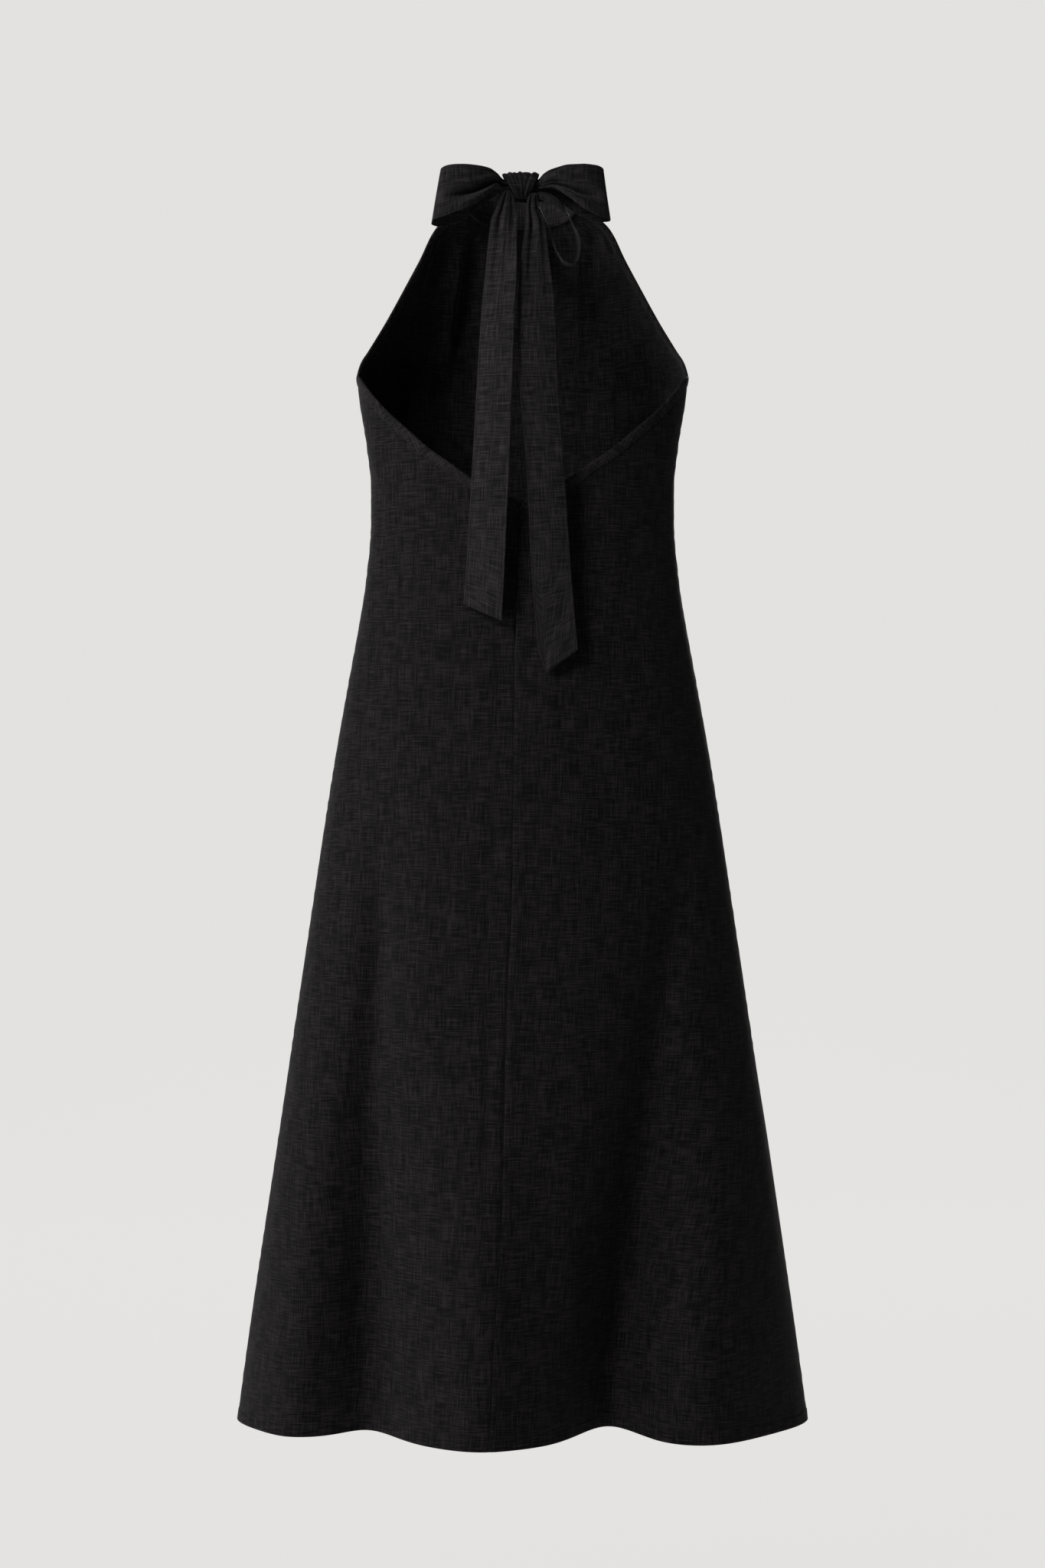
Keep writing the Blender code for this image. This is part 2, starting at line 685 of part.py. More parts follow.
def band_rows() -> list[list[Vector]]:
    """The neck band's middle surface, from the left end round the front to the right end."""
    end_turn = NECK_BAND[-1].turn
    rows = []
    for station in range(BAND_STATIONS + 1):
        turn = -end_turn + 2.0 * end_turn * station / BAND_STATIONS
        height = band_height_at(abs(turn))
        rows.append([neck_point(turn, height * share) for share in BAND_SHARES])
    return rows


def walk(line: Sequence[Vector], distance: float) -> Vector:
    """The point a distance along a line of points."""
    left = distance
    for before, after in zip(line, line[1:]):
        step = (after - before).length
        if left <= step:
            return before.lerp(after, left / step)
        left -= step
    return line[-1].copy()


class BindingPoint(NamedTuple):
    """One corner of the binding's middle, in from the cloth's edge and out from its middle."""

    reach: float
    offset: float


BINDING_PROFILE = (
    BindingPoint(BINDING_WIDTH, 1.85), BindingPoint(0.0, 1.7), BindingPoint(-1.0, 0.9),
    BindingPoint(-1.0, -0.9), BindingPoint(0.0, -1.7), BindingPoint(BINDING_WIDTH, -1.85),
)
# Points of each line that runs in from the open edge
INWARD_REACH = 6
# How far the two extra lines at the underarm lie from the side seam towards their neighbours
UNDERARM_FRONT_SHARE = 0.22
UNDERARM_BACK_SHARE = 0.4
# A line that meets the edge at a slant is read as this steep at the least
LEAST_SLANT = 0.5


def inward_lines(front: list[list[Vector]], back: list[list[Vector]], side: int) -> list[list[Vector]]:
    """Lines of panel points that run in from the open edge, from the neck to the centre back.

    Args:
        front: rows of the front's points.
        back: rows of this side's back.
        side: -1 for the left side and 1 for the right side.

    Returns:
        One line for each point of the edge.
    """
    rows = [(line if side < 0 else line[::-1])[:INWARD_REACH] for line in front]
    columns = [[row[column] for row in back[:INWARD_REACH]] for column in range(BACK_COLUMNS + 1)]
    underarm = rows[YOKE_ROW_COUNT]
    above = rows[YOKE_ROW_COUNT - 1]
    lines = rows[:YOKE_ROW_COUNT]
    lines.append([level.lerp(high, UNDERARM_FRONT_SHARE) for level, high in zip(underarm, above)])
    lines.append([rows[YOKE_ROW_COUNT + step][step] for step in range(INWARD_REACH)])
    lines.append([level.lerp(near, UNDERARM_BACK_SHARE) for level, near in zip(*columns[:2])])
    lines.extend(columns[1:])
    return lines


def binding_rows(front: list[list[Vector]], back: list[list[Vector]], side: int) -> list[list[Vector]]:
    """The middle of the binding that wraps the open edge of one side."""
    lines = inward_lines(front, back, side)
    edges = [line[0] for line in lines]
    rows = []
    for index, line in enumerate(lines):
        before = edges[max(index - 1, 0)]
        after = edges[min(index + 1, len(edges) - 1)]
        along = (after - before).normalized()
        inward = (walk(line, BINDING_WIDTH) - line[0]).normalized()
        outward = along.cross(inward).normalized()
        if outward.dot(Vector((line[0].x, line[0].y, 0.0))) < 0.0:
            outward = -outward
        slant = max(along.cross(inward).length, LEAST_SLANT)
        row = []
        for reach, offset in BINDING_PROFILE:
            middle = walk(line, reach / slant) if reach > 0.0 else line[0] + inward * (reach / slant)
            row.append(middle + outward * offset)
        rows.append(row)
    first_step = (edges[1] - edges[0]).normalized() * BINDING_START
    rows[0] = [point + first_step for point in rows[0]]
    shift = Vector((side * BINDING_END_GAP, 0.0, 0.0))
    rows[-1] = [point + shift for point in rows[-1]]
    return rows


def clear_scene() -> None:
    """Remove whatever the scene starts with."""
    for item in list(bpy.data.objects):
        bpy.data.objects.remove(item)


def build_panels(
    front: list[list[Vector]],
    left: list[list[Vector]],
    right: list[list[Vector]],
) -> None:
    """Build the three body panels with a seam's gap between them."""
    half_gap = SEAM_GAP / 2.0
    moved = [[point + Vector((0.0, half_gap, 0.0)) for point in line] for line in front]
    Sheet("front", moved, CLOTH_WALL).build()
    for name, rows, side in (("back_left", left, -1), ("back_right", right, 1)):
        moved = []
        for line in rows:
            shares = [column / BACK_COLUMNS for column in range(BACK_COLUMNS + 1)]
            moved.append([
                point + Vector((side * share, share - 1.0, 0.0)) * half_gap
                for share, point in zip(shares, line)
            ])
        Sheet(name, moved, CLOTH_WALL).build()


def main() -> None:
    """Build every piece of the dress."""
    clear_scene()
    front, left, right = front_rows(), back_rows(-1), back_rows(1)
    build_panels(front, left, right)
    Sheet("edge_binding_left", binding_rows(front, left, -1), BINDING_WALL).build()
    Sheet("edge_binding_right", binding_rows(front, right, 1), BINDING_WALL).build()
    Sheet("neck_band", band_rows(), BAND_WALL).build()
    Sheet("bow_knot", knot_rows(), TIE_WALL, closed=True).build()
    Sheet("bow_loop_left", ribbon_rows(LEFT_LOOP, LOOP_STATIONS, LOOP_PLEATS), TIE_WALL).build()
    Sheet("bow_loop_right", ribbon_rows(RIGHT_LOOP, LOOP_STATIONS, LOOP_PLEATS), TIE_WALL).build()
    Sheet("bow_loop_small", ribbon_rows(SMALL_LOOP, LOOP_STATIONS, PLAIN_RIBBON), TIE_WALL).build()
    Sheet("tie_tail_left", tail_rows(LEFT_TAIL, LEFT_TAIL_TIP, LEFT_TAIL_LEAN), TIE_WALL).build()
    Sheet("tie_tail_right", tail_rows(RIGHT_TAIL, RIGHT_TAIL_TIP, RIGHT_TAIL_LEAN), TIE_WALL).build()


if __name__ == "__main__":
    main()
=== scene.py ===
"""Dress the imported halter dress: linen shells, bindings, bow, stitching, floor, light and camera.

Plus X is the wearer's right, plus Y the wearer's front and plus Z is up. The camera sees the
dress's back. Shape tables are in millimetres and become metres where the meshes are made.
"""

import logging
import math
from dataclasses import dataclass
from enum import Enum
from typing import NamedTuple, Sequence, Union

import bmesh
import bpy
import numpy as np
from mathutils import Matrix, Vector

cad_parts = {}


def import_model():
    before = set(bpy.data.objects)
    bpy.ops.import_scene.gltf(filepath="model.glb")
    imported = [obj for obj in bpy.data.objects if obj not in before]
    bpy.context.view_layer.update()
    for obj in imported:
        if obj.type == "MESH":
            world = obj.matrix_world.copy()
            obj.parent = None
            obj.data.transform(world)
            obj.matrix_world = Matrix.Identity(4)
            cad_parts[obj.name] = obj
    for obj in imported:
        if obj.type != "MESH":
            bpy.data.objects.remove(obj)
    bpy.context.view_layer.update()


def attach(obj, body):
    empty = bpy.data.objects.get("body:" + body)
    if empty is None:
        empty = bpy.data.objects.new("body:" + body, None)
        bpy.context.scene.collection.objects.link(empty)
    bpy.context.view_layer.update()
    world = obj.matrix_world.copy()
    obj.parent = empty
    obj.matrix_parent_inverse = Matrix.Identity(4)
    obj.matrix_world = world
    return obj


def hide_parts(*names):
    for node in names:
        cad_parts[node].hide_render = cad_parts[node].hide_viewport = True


LOG = logging.getLogger("halter_dress")
METRES_PER_MM = 0.001
PICTURE_ROWS = 2048
METRES_PER_PIXEL = 0.00082
BODY = "root"

# Cloth thicknesses of the shells, in millimetres
PANEL_WALL = 0.8
TIE_WALL = 1.3
BAND_WALL = 2.4
BINDING_WALL = 0.6

UNDERARM_HEIGHT = -190.0
HEM_HEIGHT = -1303.0
# How far the front's gathered edge goes up inside the band
NECK_TUCK = 3.0
# Keeps a point's sideways place and depth and drops its height
LEVEL = np.array([1.0, 1.0, 0.0])
# How far along the cloth the right back is cut from the left one
RIGHT_BACK_SHIFT = 3400.0


def table(kind: type, rows: Sequence[tuple[float, ...]]) -> tuple[NamedTuple, ...]:
    """A table whose rows are all of one kind."""
    return tuple(kind(*row) for row in rows)


class Section(NamedTuple):
    """One level section of the body below the underarm."""

    height: float
    half_width: float
    front_depth: float
    back_depth: float


SECTIONS = table(Section, (
    (-190.0, 176.6, 128.5, 95.0), (-212.0, 174.7, 130.5, 94.0), (-261.0, 166.9, 132.0, 92.0),
    (-310.0, 161.9, 129.0, 89.0), (-345.0, 161.9, 125.0, 88.5), (-409.0, 167.3, 123.0, 93.0),
    (-458.0, 175.1, 124.0, 98.0), (-507.0, 184.1, 126.0, 104.0), (-605.0, 201.3, 131.0, 114.0),
    (-802.0, 231.2, 141.0, 128.0), (-999.0, 260.3, 150.0, 139.0), (-1196.0, 289.9, 160.0, 147.0),
    (-1303.0, 304.6, 165.0, 152.0),
))


class YokeRow(NamedTuple):
    """One row of the front above the underarm, from armhole edge to centre."""

    edge_half_width: float
    edge_depth: float
    edge_height: float
    centre_depth: float
    centre_height: float
    half_turn: float


YOKE_ROWS = table(YokeRow, (
    (76.0, 23.0, -13.0, 72.0, -37.0, 70.0), (93.0, 28.0, -27.0, 82.0, -52.0, 64.0),
    (110.0, 31.0, -60.0, 97.0, -80.0, 63.0), (127.5, 29.0, -93.0, 108.5, -107.0, 65.0),
    (145.0, 24.0, -126.0, 117.5, -134.0, 69.0), (163.5, 13.0, -159.0, 124.5, -163.0, 77.0),
    (173.0, 5.0, -176.0, 127.0, -178.0, 84.0),
))


class HangingFold(NamedTuple):
    """A hanging fold: outward reach at the hem, where it lies and where it dies out."""

    hem_x: float
    top_x: float
    width: float
    reach: float
    top_height: float
    hem_lift: float


BACK_FOLDS = table(HangingFold, (
    (-250.0, -215.0, 32.0, 16.0, -760.0, 0.0), (-160.0, -150.0, 38.0, -38.0, -600.0, 4.0),
    (-45.0, -40.0, 60.0, 36.0, -820.0, 0.0), (88.0, 172.0, 42.0, -54.0, -620.0, 8.0),
    (200.0, 225.0, 60.0, 34.0, -800.0, 0.0),
))
FRONT_FOLDS = table(HangingFold, (
    (-215.0, -200.0, 52.0, 26.0, -780.0, 0.0), (-112.0, -134.0, 40.0, -36.0, -620.0, 6.0),
    (-8.0, 0.0, 58.0, 30.0, -860.0, 0.0), (104.0, 122.0, 42.0, -40.0, -650.0, 6.0),
    (208.0, 196.0, 54.0, 28.0, -800.0, 0.0),
))


class Crease(NamedTuple):
    """A soft trough (minus) or ridge (plus) laid between two places of the back view."""

    start_x: float
    start_z: float
    end_x: float
    end_z: float
    bend: float
    width: float
    reach: float
    skew: float = 0.0
    fade: float = 0.35


# Creases of the backs, on both sides of the centre seam
BACK_CREASES = table(Crease, (
    (178.0, -640.0, 92.0, -1320.0, 0.0, 18.0, -9.0, -0.25, 0.25),
    (-150.0, -640.0, -170.0, -1310.0, 0.0, 17.0, -8.0, 0.1, 0.25),
    (-38.0, -860.0, -41.0, -1040.0, 2.0, 7.0, -1.7, 0.4),
    (-28.0, -900.0, -31.0, -1010.0, -1.0, 6.0, 1.4, 0.0),
    (-22.0, -420.0, -30.0, -640.0, 4.0, 16.0, -1.2, 0.2),
    (-52.0, -640.0, -60.0, -900.0, -4.0, 18.0, 1.5, -0.3),
    (-96.0, -560.0, -128.0, -980.0, 6.0, 22.0, 1.6, 0.2),
    (-138.0, -720.0, -196.0, -1120.0, -7.0, 14.0, -1.8, 0.4),
    (-168.0, -430.0, -190.0, -760.0, 5.0, 15.0, -1.5, 0.3),
    (-228.0, -880.0, -262.0, -1230.0, 4.0, 11.0, -1.3, -0.3),
    (-210.0, -1120.0, -236.0, -1290.0, -3.0, 12.0, 1.5, 0.1),
    (20.0, -380.0, 34.0, -620.0, -4.0, 17.0, 1.1, 0.0),
    (72.0, -460.0, 104.0, -800.0, -7.0, 19.0, -1.4, 0.3),
    (128.0, -420.0, 168.0, -700.0, 6.0, 15.0, 1.5, -0.2),
    (150.0, -380.0, 186.0, -600.0, -5.0, 13.0, -1.6, 0.3),
    (48.0, -940.0, 30.0, -1230.0, 6.0, 20.0, 1.8, 0.2),
    (198.0, -880.0, 186.0, -1180.0, -8.0, 16.0, -2.0, -0.3),
    (240.0, -900.0, 268.0, -1240.0, 5.0, 13.0, 1.6, 0.2),
    (112.0, -1090.0, 96.0, -1270.0, 3.0, 10.0, 1.9, 0.4),
    (64.0, -1010.0, 84.0, -1190.0, -4.0, 12.0, -1.4, 0.2),
    (138.0, -292.0, 96.0, -330.0, -4.0, 5.0, -1.0, 0.3),
    (146.0, -318.0, 108.0, -392.0, -6.0, 6.0, -1.1, 0.3),
    (152.0, -268.0, 118.0, -282.0, 2.0, 4.5, 0.8, 0.0),
    (-150.0, -276.0, -122.0, -330.0, 4.0, 6.0, -0.9, 0.2),
    (-158.0, -330.0, -136.0, -420.0, 5.0, 9.0, -1.0, 0.2),
    (-110.0, -262.0, -98.0, -330.0, 3.0, 7.0, 0.8, 0.0),
    (58.0, -330.0, 64.0, -420.0, 2.0, 8.0, 0.8, 0.0),
))
# Creases of the front, which the back view shows from the inside through the open back
FRONT_CREASES = table(Crease, (
    (-88.0, -16.0, -116.0, -130.0, 3.0, 6.0, 4.1, 0.4, 0.3),
    (-47.0, -12.0, -74.0, -160.0, -5.0, 9.0, 7.1, 0.3, 0.3),
    (-66.0, -20.0, -90.0, -190.0, 3.0, 7.0, -4.4, 0.0, 0.3),
    (-32.0, -20.0, -52.0, -260.0, 4.0, 12.0, -5.1, 0.2, 0.3),
    (-104.0, -60.0, -124.0, -215.0, -4.0, 9.0, -2.9, 0.3),
    (-84.0, -160.0, -92.0, -290.0, 4.0, 11.0, 3.7, -0.3),
    (-134.0, -130.0, -140.0, -250.0, 4.0, 9.0, 2.4, 0.2),
    (-18.0, -25.0, -20.0, -300.0, 0.0, 12.0, 4.4, 0.0, 0.3),
    (12.0, -25.0, 8.0, -280.0, 3.0, 11.0, -4.1, 0.0, 0.3),
    (34.0, -20.0, 40.0, -240.0, -3.0, 10.0, 5.1, 0.2, 0.3),
    (56.0, -18.0, 60.0, -190.0, 4.0, 7.0, -4.1, -0.2, 0.3),
    (74.0, -14.0, 90.0, -150.0, -4.0, 7.0, 4.2, 0.3, 0.3),
    (92.0, -40.0, 112.0, -190.0, 3.0, 8.0, -3.1, 0.2),
    (104.0, -170.0, 110.0, -262.0, -3.0, 6.0, 3.6, 0.4),
    (126.0, -110.0, 140.0, -230.0, 4.0, 9.0, 2.2, -0.2),
    (66.0, -170.0, 72.0, -300.0, 4.0, 12.0, 2.9, 0.2),
    (-40.0, -420.0, -52.0, -760.0, 5.0, 20.0, 1.6, 0.2),
    (36.0, -380.0, 44.0, -700.0, -5.0, 22.0, -1.5, 0.2),
    (-120.0, -430.0, -148.0, -800.0, 6.0, 18.0, -1.7, 0.3),
    (118.0, -400.0, 150.0, -760.0, 5.0, 18.0, 1.5, 0.2),
    (-176.0, -820.0, -196.0, -1180.0, -6.0, 16.0, 1.8, 0.3),
    (170.0, -840.0, 188.0, -1200.0, 6.0, 16.0, -1.8, 0.3),
    (-58.0, -900.0, -70.0, -1220.0, 5.0, 18.0, 1.8, -0.2),
    (62.0, -880.0, 56.0, -1200.0, -5.0, 17.0, 1.7, 0.2),
))


class PlaceValue(NamedTuple):
    """A value that belongs to a place along an edge or a seam."""

    place: float
    value: float


# Height of the back neckline by turn from the side seam (0 degrees) to the centre (90 degrees)
BACK_NECKLINE = table(PlaceValue, (
    (0.0, -190.0), (10.0, -193.5), (23.0, -211.7), (34.0, -233.0), (45.0, -254.7), (54.5, -275.0),
    (63.4, -291.0), (70.5, -305.0), (90.0, -332.5),
))
# Sideways place of the centre back seam by depth below the neck
CENTRE_SEAM = table(PlaceValue, (
    (190.0, -3.6), (332.0, -3.6), (495.0, -8.0), (750.0, -11.0), (845.0, -16.0), (1084.0, -22.0),
    (1200.0, -29.0), (1303.0, -34.0),
))


class BandPoint(NamedTuple):
    """The neck band's lower edge and height, by turn from the front centre."""

    turn: float
    lower_height: float
    band_height: float


NECK_BAND = table(BandPoint, (
    (0.0, -22.0, 30.0), (45.0, -18.0, 30.0), (76.0, -8.0, 29.0), (95.0, -5.0, 26.5),
    (120.0, -6.5, 25.0), (148.0, -10.0, 24.0), (165.0, -13.5, 23.0), (174.0, -14.5, 22.5),
))
NECK_HALF_WIDTH = 61.0
NECK_FRONT_DEPTH = 61.5
NECK_BACK_DEPTH = 66.2
FRONT_JOIN_TURN = 76.0
BAND_INFLUENCE = 0.25


class RibbonPoint(NamedTuple):
    """Both edges of a ribbon at one station; depth is measured out from the neck."""

    upper_x: float
    upper_z: float
    lower_x: float
    lower_z: float
    upper_depth: float
    lower_depth: float
    pleat: float


LEFT_LOOP = table(RibbonPoint, (
    (-12.0, 3.8, -11.0, -3.0, 85.0, 85.0, 0.1), (-20.5, 6.0, -20.0, -4.0, 88.4, 88.4, 0.3),
    (-27.0, 11.0, -26.5, -3.0, 97.0, 96.5, 0.9), (-35.0, 14.8, -34.0, -10.0, 104.0, 102.0, 1.0),
    (-50.0, 17.2, -50.0, -22.7, 109.0, 107.0, 1.0), (-66.0, 18.0, -67.0, -30.5, 110.0, 109.0, 0.8),
    (-79.0, 17.0, -84.0, -36.5, 106.0, 107.0, 0.35), (-85.0, 14.8, -94.0, -38.5, 97.0, 98.0, 0.0),
    (-85.5, 12.5, -94.5, -40.5, 87.0, 88.0, 0.0), (-78.0, 12.0, -86.0, -42.0, 79.0, 79.0, 0.0),
    (-62.0, 12.0, -66.0, -36.0, 77.0, 76.0, 0.0), (-46.0, 12.0, -46.0, -22.0, 77.0, 76.0, 0.2),
    (-30.0, 10.0, -28.0, -9.0, 78.0, 78.0, 0.3), (-20.0, 6.6, -19.5, -5.0, 79.0, 79.0, 0.3),
    (-12.0, 4.5, -11.0, -4.0, 79.5, 79.5, 0.2),
))
RIGHT_LOOP = table(RibbonPoint, (
    (10.0, 3.8, 9.0, -3.0, 85.0, 85.0, 0.1), (16.8, 5.8, 16.0, -3.4, 87.5, 87.5, 0.3),
    (22.5, 9.9, 22.0, -4.4, 97.0, 96.5, 0.9), (30.5, 13.6, 30.0, -4.9, 104.0, 102.0, 1.0),
    (46.4, 17.2, 46.4, -14.0, 109.0, 107.0, 1.0), (62.0, 18.0, 62.5, -27.0, 110.0, 109.0, 0.8),
    (76.0, 17.6, 79.0, -35.0, 106.0, 107.0, 0.35), (83.5, 14.8, 90.8, -37.0, 97.0, 98.0, 0.0),
    (84.0, 12.5, 91.0, -37.5, 87.0, 88.0, 0.0), (76.0, 12.0, 82.0, -37.0, 79.0, 79.0, 0.0),
    (60.0, 12.0, 62.0, -31.0, 77.0, 76.0, 0.0), (44.0, 12.0, 44.0, -19.0, 77.0, 76.0, 0.2),
    (28.0, 10.0, 27.0, -8.0, 78.0, 78.0, 0.3), (17.0, 6.6, 16.0, -4.4, 79.0, 79.0, 0.3),
    (10.0, 4.5, 9.0, -3.6, 79.5, 79.5, 0.2),
))
# The third loop hangs open to the right; upper means its edge away from the viewer of the bow
SMALL_LOOP = table(RibbonPoint, (
    (9.6, -6.0, 8.7, -10.9, 83.0, 86.5, 0.0), (24.5, -8.0, 24.8, -19.0, 88.0, 99.0, 0.0),
    (35.5, -14.0, 36.0, -25.6, 91.0, 104.0, 0.0), (44.5, -25.0, 46.0, -34.6, 86.0, 105.0, 0.0),
    (51.0, -37.0, 53.2, -44.5, 80.0, 105.5, 0.0), (56.0, -50.0, 58.9, -56.0, 75.0, 105.5, 0.0),
    (58.0, -63.0, 60.4, -67.0, 73.0, 105.5, 0.0), (56.0, -76.0, 58.0, -79.0, 73.0, 105.5, 0.0),
    (51.0, -82.0, 52.0, -85.0, 73.0, 105.5, 0.0), (43.0, -80.0, 43.5, -82.5, 74.0, 105.0, 0.0),
    (37.0, -71.0, 36.8, -73.0, 75.0, 104.0, 0.0), (31.8, -56.0, 31.0, -58.0, 77.0, 102.0, 0.0),
    (26.0, -40.0, 25.0, -43.0, 79.0, 99.0, 0.0), (20.0, -26.0, 19.0, -29.0, 80.0, 94.0, 0.0),
    (12.5, -15.0, 12.6, -18.0, 82.0, 89.0, 0.0),
))
# Outward shape across a gathered loop, from its upper edge to its lower one
LOOP_PLEATS = (0.0, 2.2, 2.6, 1.0, -2.6, -2.2, 1.4, 1.6, 0.0)


class LoopFold(NamedTuple):
    """A trough or ridge that runs out along a bow loop from the knot."""

    near_x: float
    near_share: float
    far_x: float
    far_share: float
    width: float
    reach: float


LEFT_LOOP_FOLDS = table(LoopFold, (
    (20.0, 0.70, 88.0, 0.61, 0.085, -9.0), (18.0, 0.42, 70.0, 0.40, 0.10, 2.8),
    (16.0, 0.20, 48.0, 0.09, 0.05, -4.4), (18.0, 0.90, 74.0, 0.84, 0.08, 2.7),
    (20.0, 0.56, 52.0, 0.50, 0.05, -2.1), (40.0, 0.26, 82.0, 0.30, 0.07, -1.7),
    (60.0, 0.74, 90.0, 0.80, 0.06, -1.5),
))
RIGHT_LOOP_FOLDS = table(LoopFold, (
    (20.0, 0.82, 88.0, 0.57, 0.080, -8.5), (18.0, 0.50, 66.0, 0.42, 0.10, 2.8),
    (16.0, 0.16, 46.0, 0.06, 0.05, -4.2), (24.0, 0.94, 76.0, 0.80, 0.07, 2.5),
    (22.0, 0.66, 56.0, 0.48, 0.05, -2.5), (44.0, 0.30, 84.0, 0.27, 0.08, -1.7),
    (34.0, 0.34, 60.0, 0.30, 0.04, 1.5),
))


class TailPoint(NamedTuple):
    """One level of a hanging tie end, between its left and right edges."""

    height: float
    left_x: float
    right_x: float
    depth: float
    pleat: float


LEFT_TAIL = table(TailPoint, (
    (-6.5, -17.8, -12.6, 93.0, 0.1), (-13.0, -21.5, -9.8, 97.0, 1.0), (-26.0, -27.0, -7.6, 103.0, 1.2),
    (-40.0, -32.6, -6.0, 105.0, 1.0), (-77.0, -36.9, -5.6, 106.0, 0.5),
    (-139.0, -42.7, -8.1, 106.0, 0.2), (-257.0, -50.0, -12.1, 105.0, 0.0),
    (-360.0, -56.0, -16.7, 105.0, 0.0), (-438.0, -61.2, -20.7, 109.0, 0.0),
))
RIGHT_TAIL = table(TailPoint, (
    (-9.2, 10.0, 15.5, 91.6, 0.1), (-15.0, 6.0, 15.6, 98.5, 1.0), (-26.0, 4.1, 16.4, 103.0, 1.2),
    (-41.0, 3.4, 22.8, 106.0, 1.0), (-77.0, -1.2, 27.4, 107.5, 0.6), (-133.0, -4.7, 33.9, 107.5, 0.2),
    (-193.0, -3.8, 36.1, 107.0, 0.0), (-307.0, 4.6, 43.9, 106.0, 0.0), (-412.0, 9.8, 51.1, 108.0, 0.0),
    (-486.0, 16.4, 57.7, 113.0, 0.0),
))
# Outward shape across the gathered top of a tail
TAIL_PLEATS = (0.0, 1.2, -1.0, 1.6, 1.2, -0.8, 0.0)


class TailTip(NamedTuple):
    """A tie end's slanted point: where across it lies, 0 left to 1 right, and how far it drops."""

    share: float
    drop: float


class TailWave(NamedTuple):
    """A soft dent or bump on a tie end, by share across, height and half sizes."""

    share: float
    height: float
    half_share: float
    half_height: float
    reach: float


LEFT_TAIL_TIP = TailTip(1.0, 19.0)
RIGHT_TAIL_TIP = TailTip(0.2, 24.5)
LEFT_TAIL_WAVES = table(TailWave, (
    (0.20, -60.0, 0.14, 50.0, -1.0), (0.62, -64.0, 0.12, 46.0, -1.3), (0.90, -110.0, 0.16, 60.0, 0.9),
    (0.15, -180.0, 0.3, 60.0, 0.9), (0.70, -240.0, 0.3, 44.0, -0.9), (0.30, -300.0, 0.3, 30.0, 0.8),
    (0.95, -322.0, 0.25, 26.0, -1.1), (0.35, -390.0, 0.22, 26.0, -1.2), (0.60, -424.0, 0.18, 14.0, 1.3),
    (0.30, -436.0, 0.2, 9.0, -1.0),
))
RIGHT_TAIL_WAVES = table(TailWave, (
    (0.30, -62.0, 0.12, 44.0, -1.2), (0.70, -58.0, 0.12, 48.0, 1.0), (0.12, -130.0, 0.2, 60.0, -0.9),
    (0.60, -190.0, 0.3, 70.0, 0.9), (0.25, -270.0, 0.3, 44.0, -0.9), (0.80, -330.0, 0.26, 40.0, 1.0),
    (0.30, -400.0, 0.3, 36.0, 0.9), (0.55, -450.0, 0.2, 14.0, -1.1), (0.25, -486.0, 0.2, 12.0, 1.0),
    (0.80, -478.0, 0.2, 12.0, -0.9),
))

# The knot is a band wrapped round the roots of the loops
KNOT_DEPTH = 82.0
KNOT_HEIGHT = 1.0
KNOT_HALF_DEPTH = 13.7
KNOT_HALF_HEIGHT = 12.8
KNOT_LEFT = -14.5
KNOT_LEFT_SLANT = -6.5
KNOT_RIGHT = 12.3
KNOT_RIGHT_SLANT = 4.8


class KnotGather(NamedTuple):
    """A gather across the knot: its share at the bottom and the top, half width and reach."""

    low_share: float
    high_share: float
    half_share: float
    reach: float


KNOT_GATHERS = table(KnotGather, (
    (0.16, 0.12, 0.035, -0.9), (0.30, 0.27, 0.030, -0.6), (0.42, 0.40, 0.040, -1.0),
    (0.55, 0.56, 0.028, -0.6), (0.62, 0.80, 0.035, -1.3), (0.72, 0.90, 0.060, 1.0),
    (0.23, 0.20, 0.045, 0.5), (0.49, 0.48, 0.040, 0.6),
))

Number = Union[float, np.ndarray]


class Curve:
    """A smooth curve through a table's values that never overshoots them."""

    def __init__(self, places: Sequence[float], values: Sequence[float]) -> None:
        """Keep the table and work out its slopes.

        Args:
            places: where the values lie, in any order.
            values: the values.
        """
        order = np.argsort(places)
        self.places = np.asarray(places, float)[order]
        self.values = np.asarray(values, float)[order]
        chords = np.diff(self.values) / np.diff(self.places)
        before, after = chords[:-1], chords[1:]
        same_way = before * after > 0.0
        total = np.where(same_way, before + after, 1.0)
        inner = np.where(same_way, 2.0 * before * after / total, 0.0)
        self.slopes = np.concatenate((chords[:1], inner, chords[-1:]))

    def __call__(self, place: Number) -> Number:
        """The curve's value at one place or at an array of places."""
        index = np.clip(np.searchsorted(self.places, place, side="right") - 1, 0, len(self.places) - 2)
        step = self.places[index + 1] - self.places[index]
        part = np.clip((place - self.places[index]) / step, 0.0, 1.0)
        square, cube = part ** 2, part ** 3
        start = (2.0 * cube - 3.0 * square + 1.0) * self.values[index]
        end = (3.0 * square - 2.0 * cube) * self.values[index + 1]
        lean_start = (cube - 2.0 * square + part) * step * self.slopes[index]
        lean_end = (cube - square) * step * self.slopes[index + 1]
        return start + end + lean_start + lean_end


def table_curve(rows: Sequence[NamedTuple], place: str, value: str) -> Curve:
    """A curve of one named column of a table against another."""
    return Curve([getattr(row, place) for row in rows], [getattr(row, value) for row in rows])


def even_curve(values: Sequence[float]) -> Curve:
    """A curve through values spread evenly from 0 to 1."""
    return Curve(np.linspace(0.0, 1.0, len(values)), values)


def smooth_step(part: Number) -> Number:
    """A soft step from 0 to 1."""
    part = np.clip(part, 0.0, 1.0)
    return part * part * (3.0 - 2.0 * part)


def bell(offset: Number, width: Number) -> Number:
    """A bell that is 1 at no offset and dies out over a few widths."""
    return np.exp(-((offset / width) ** 2))


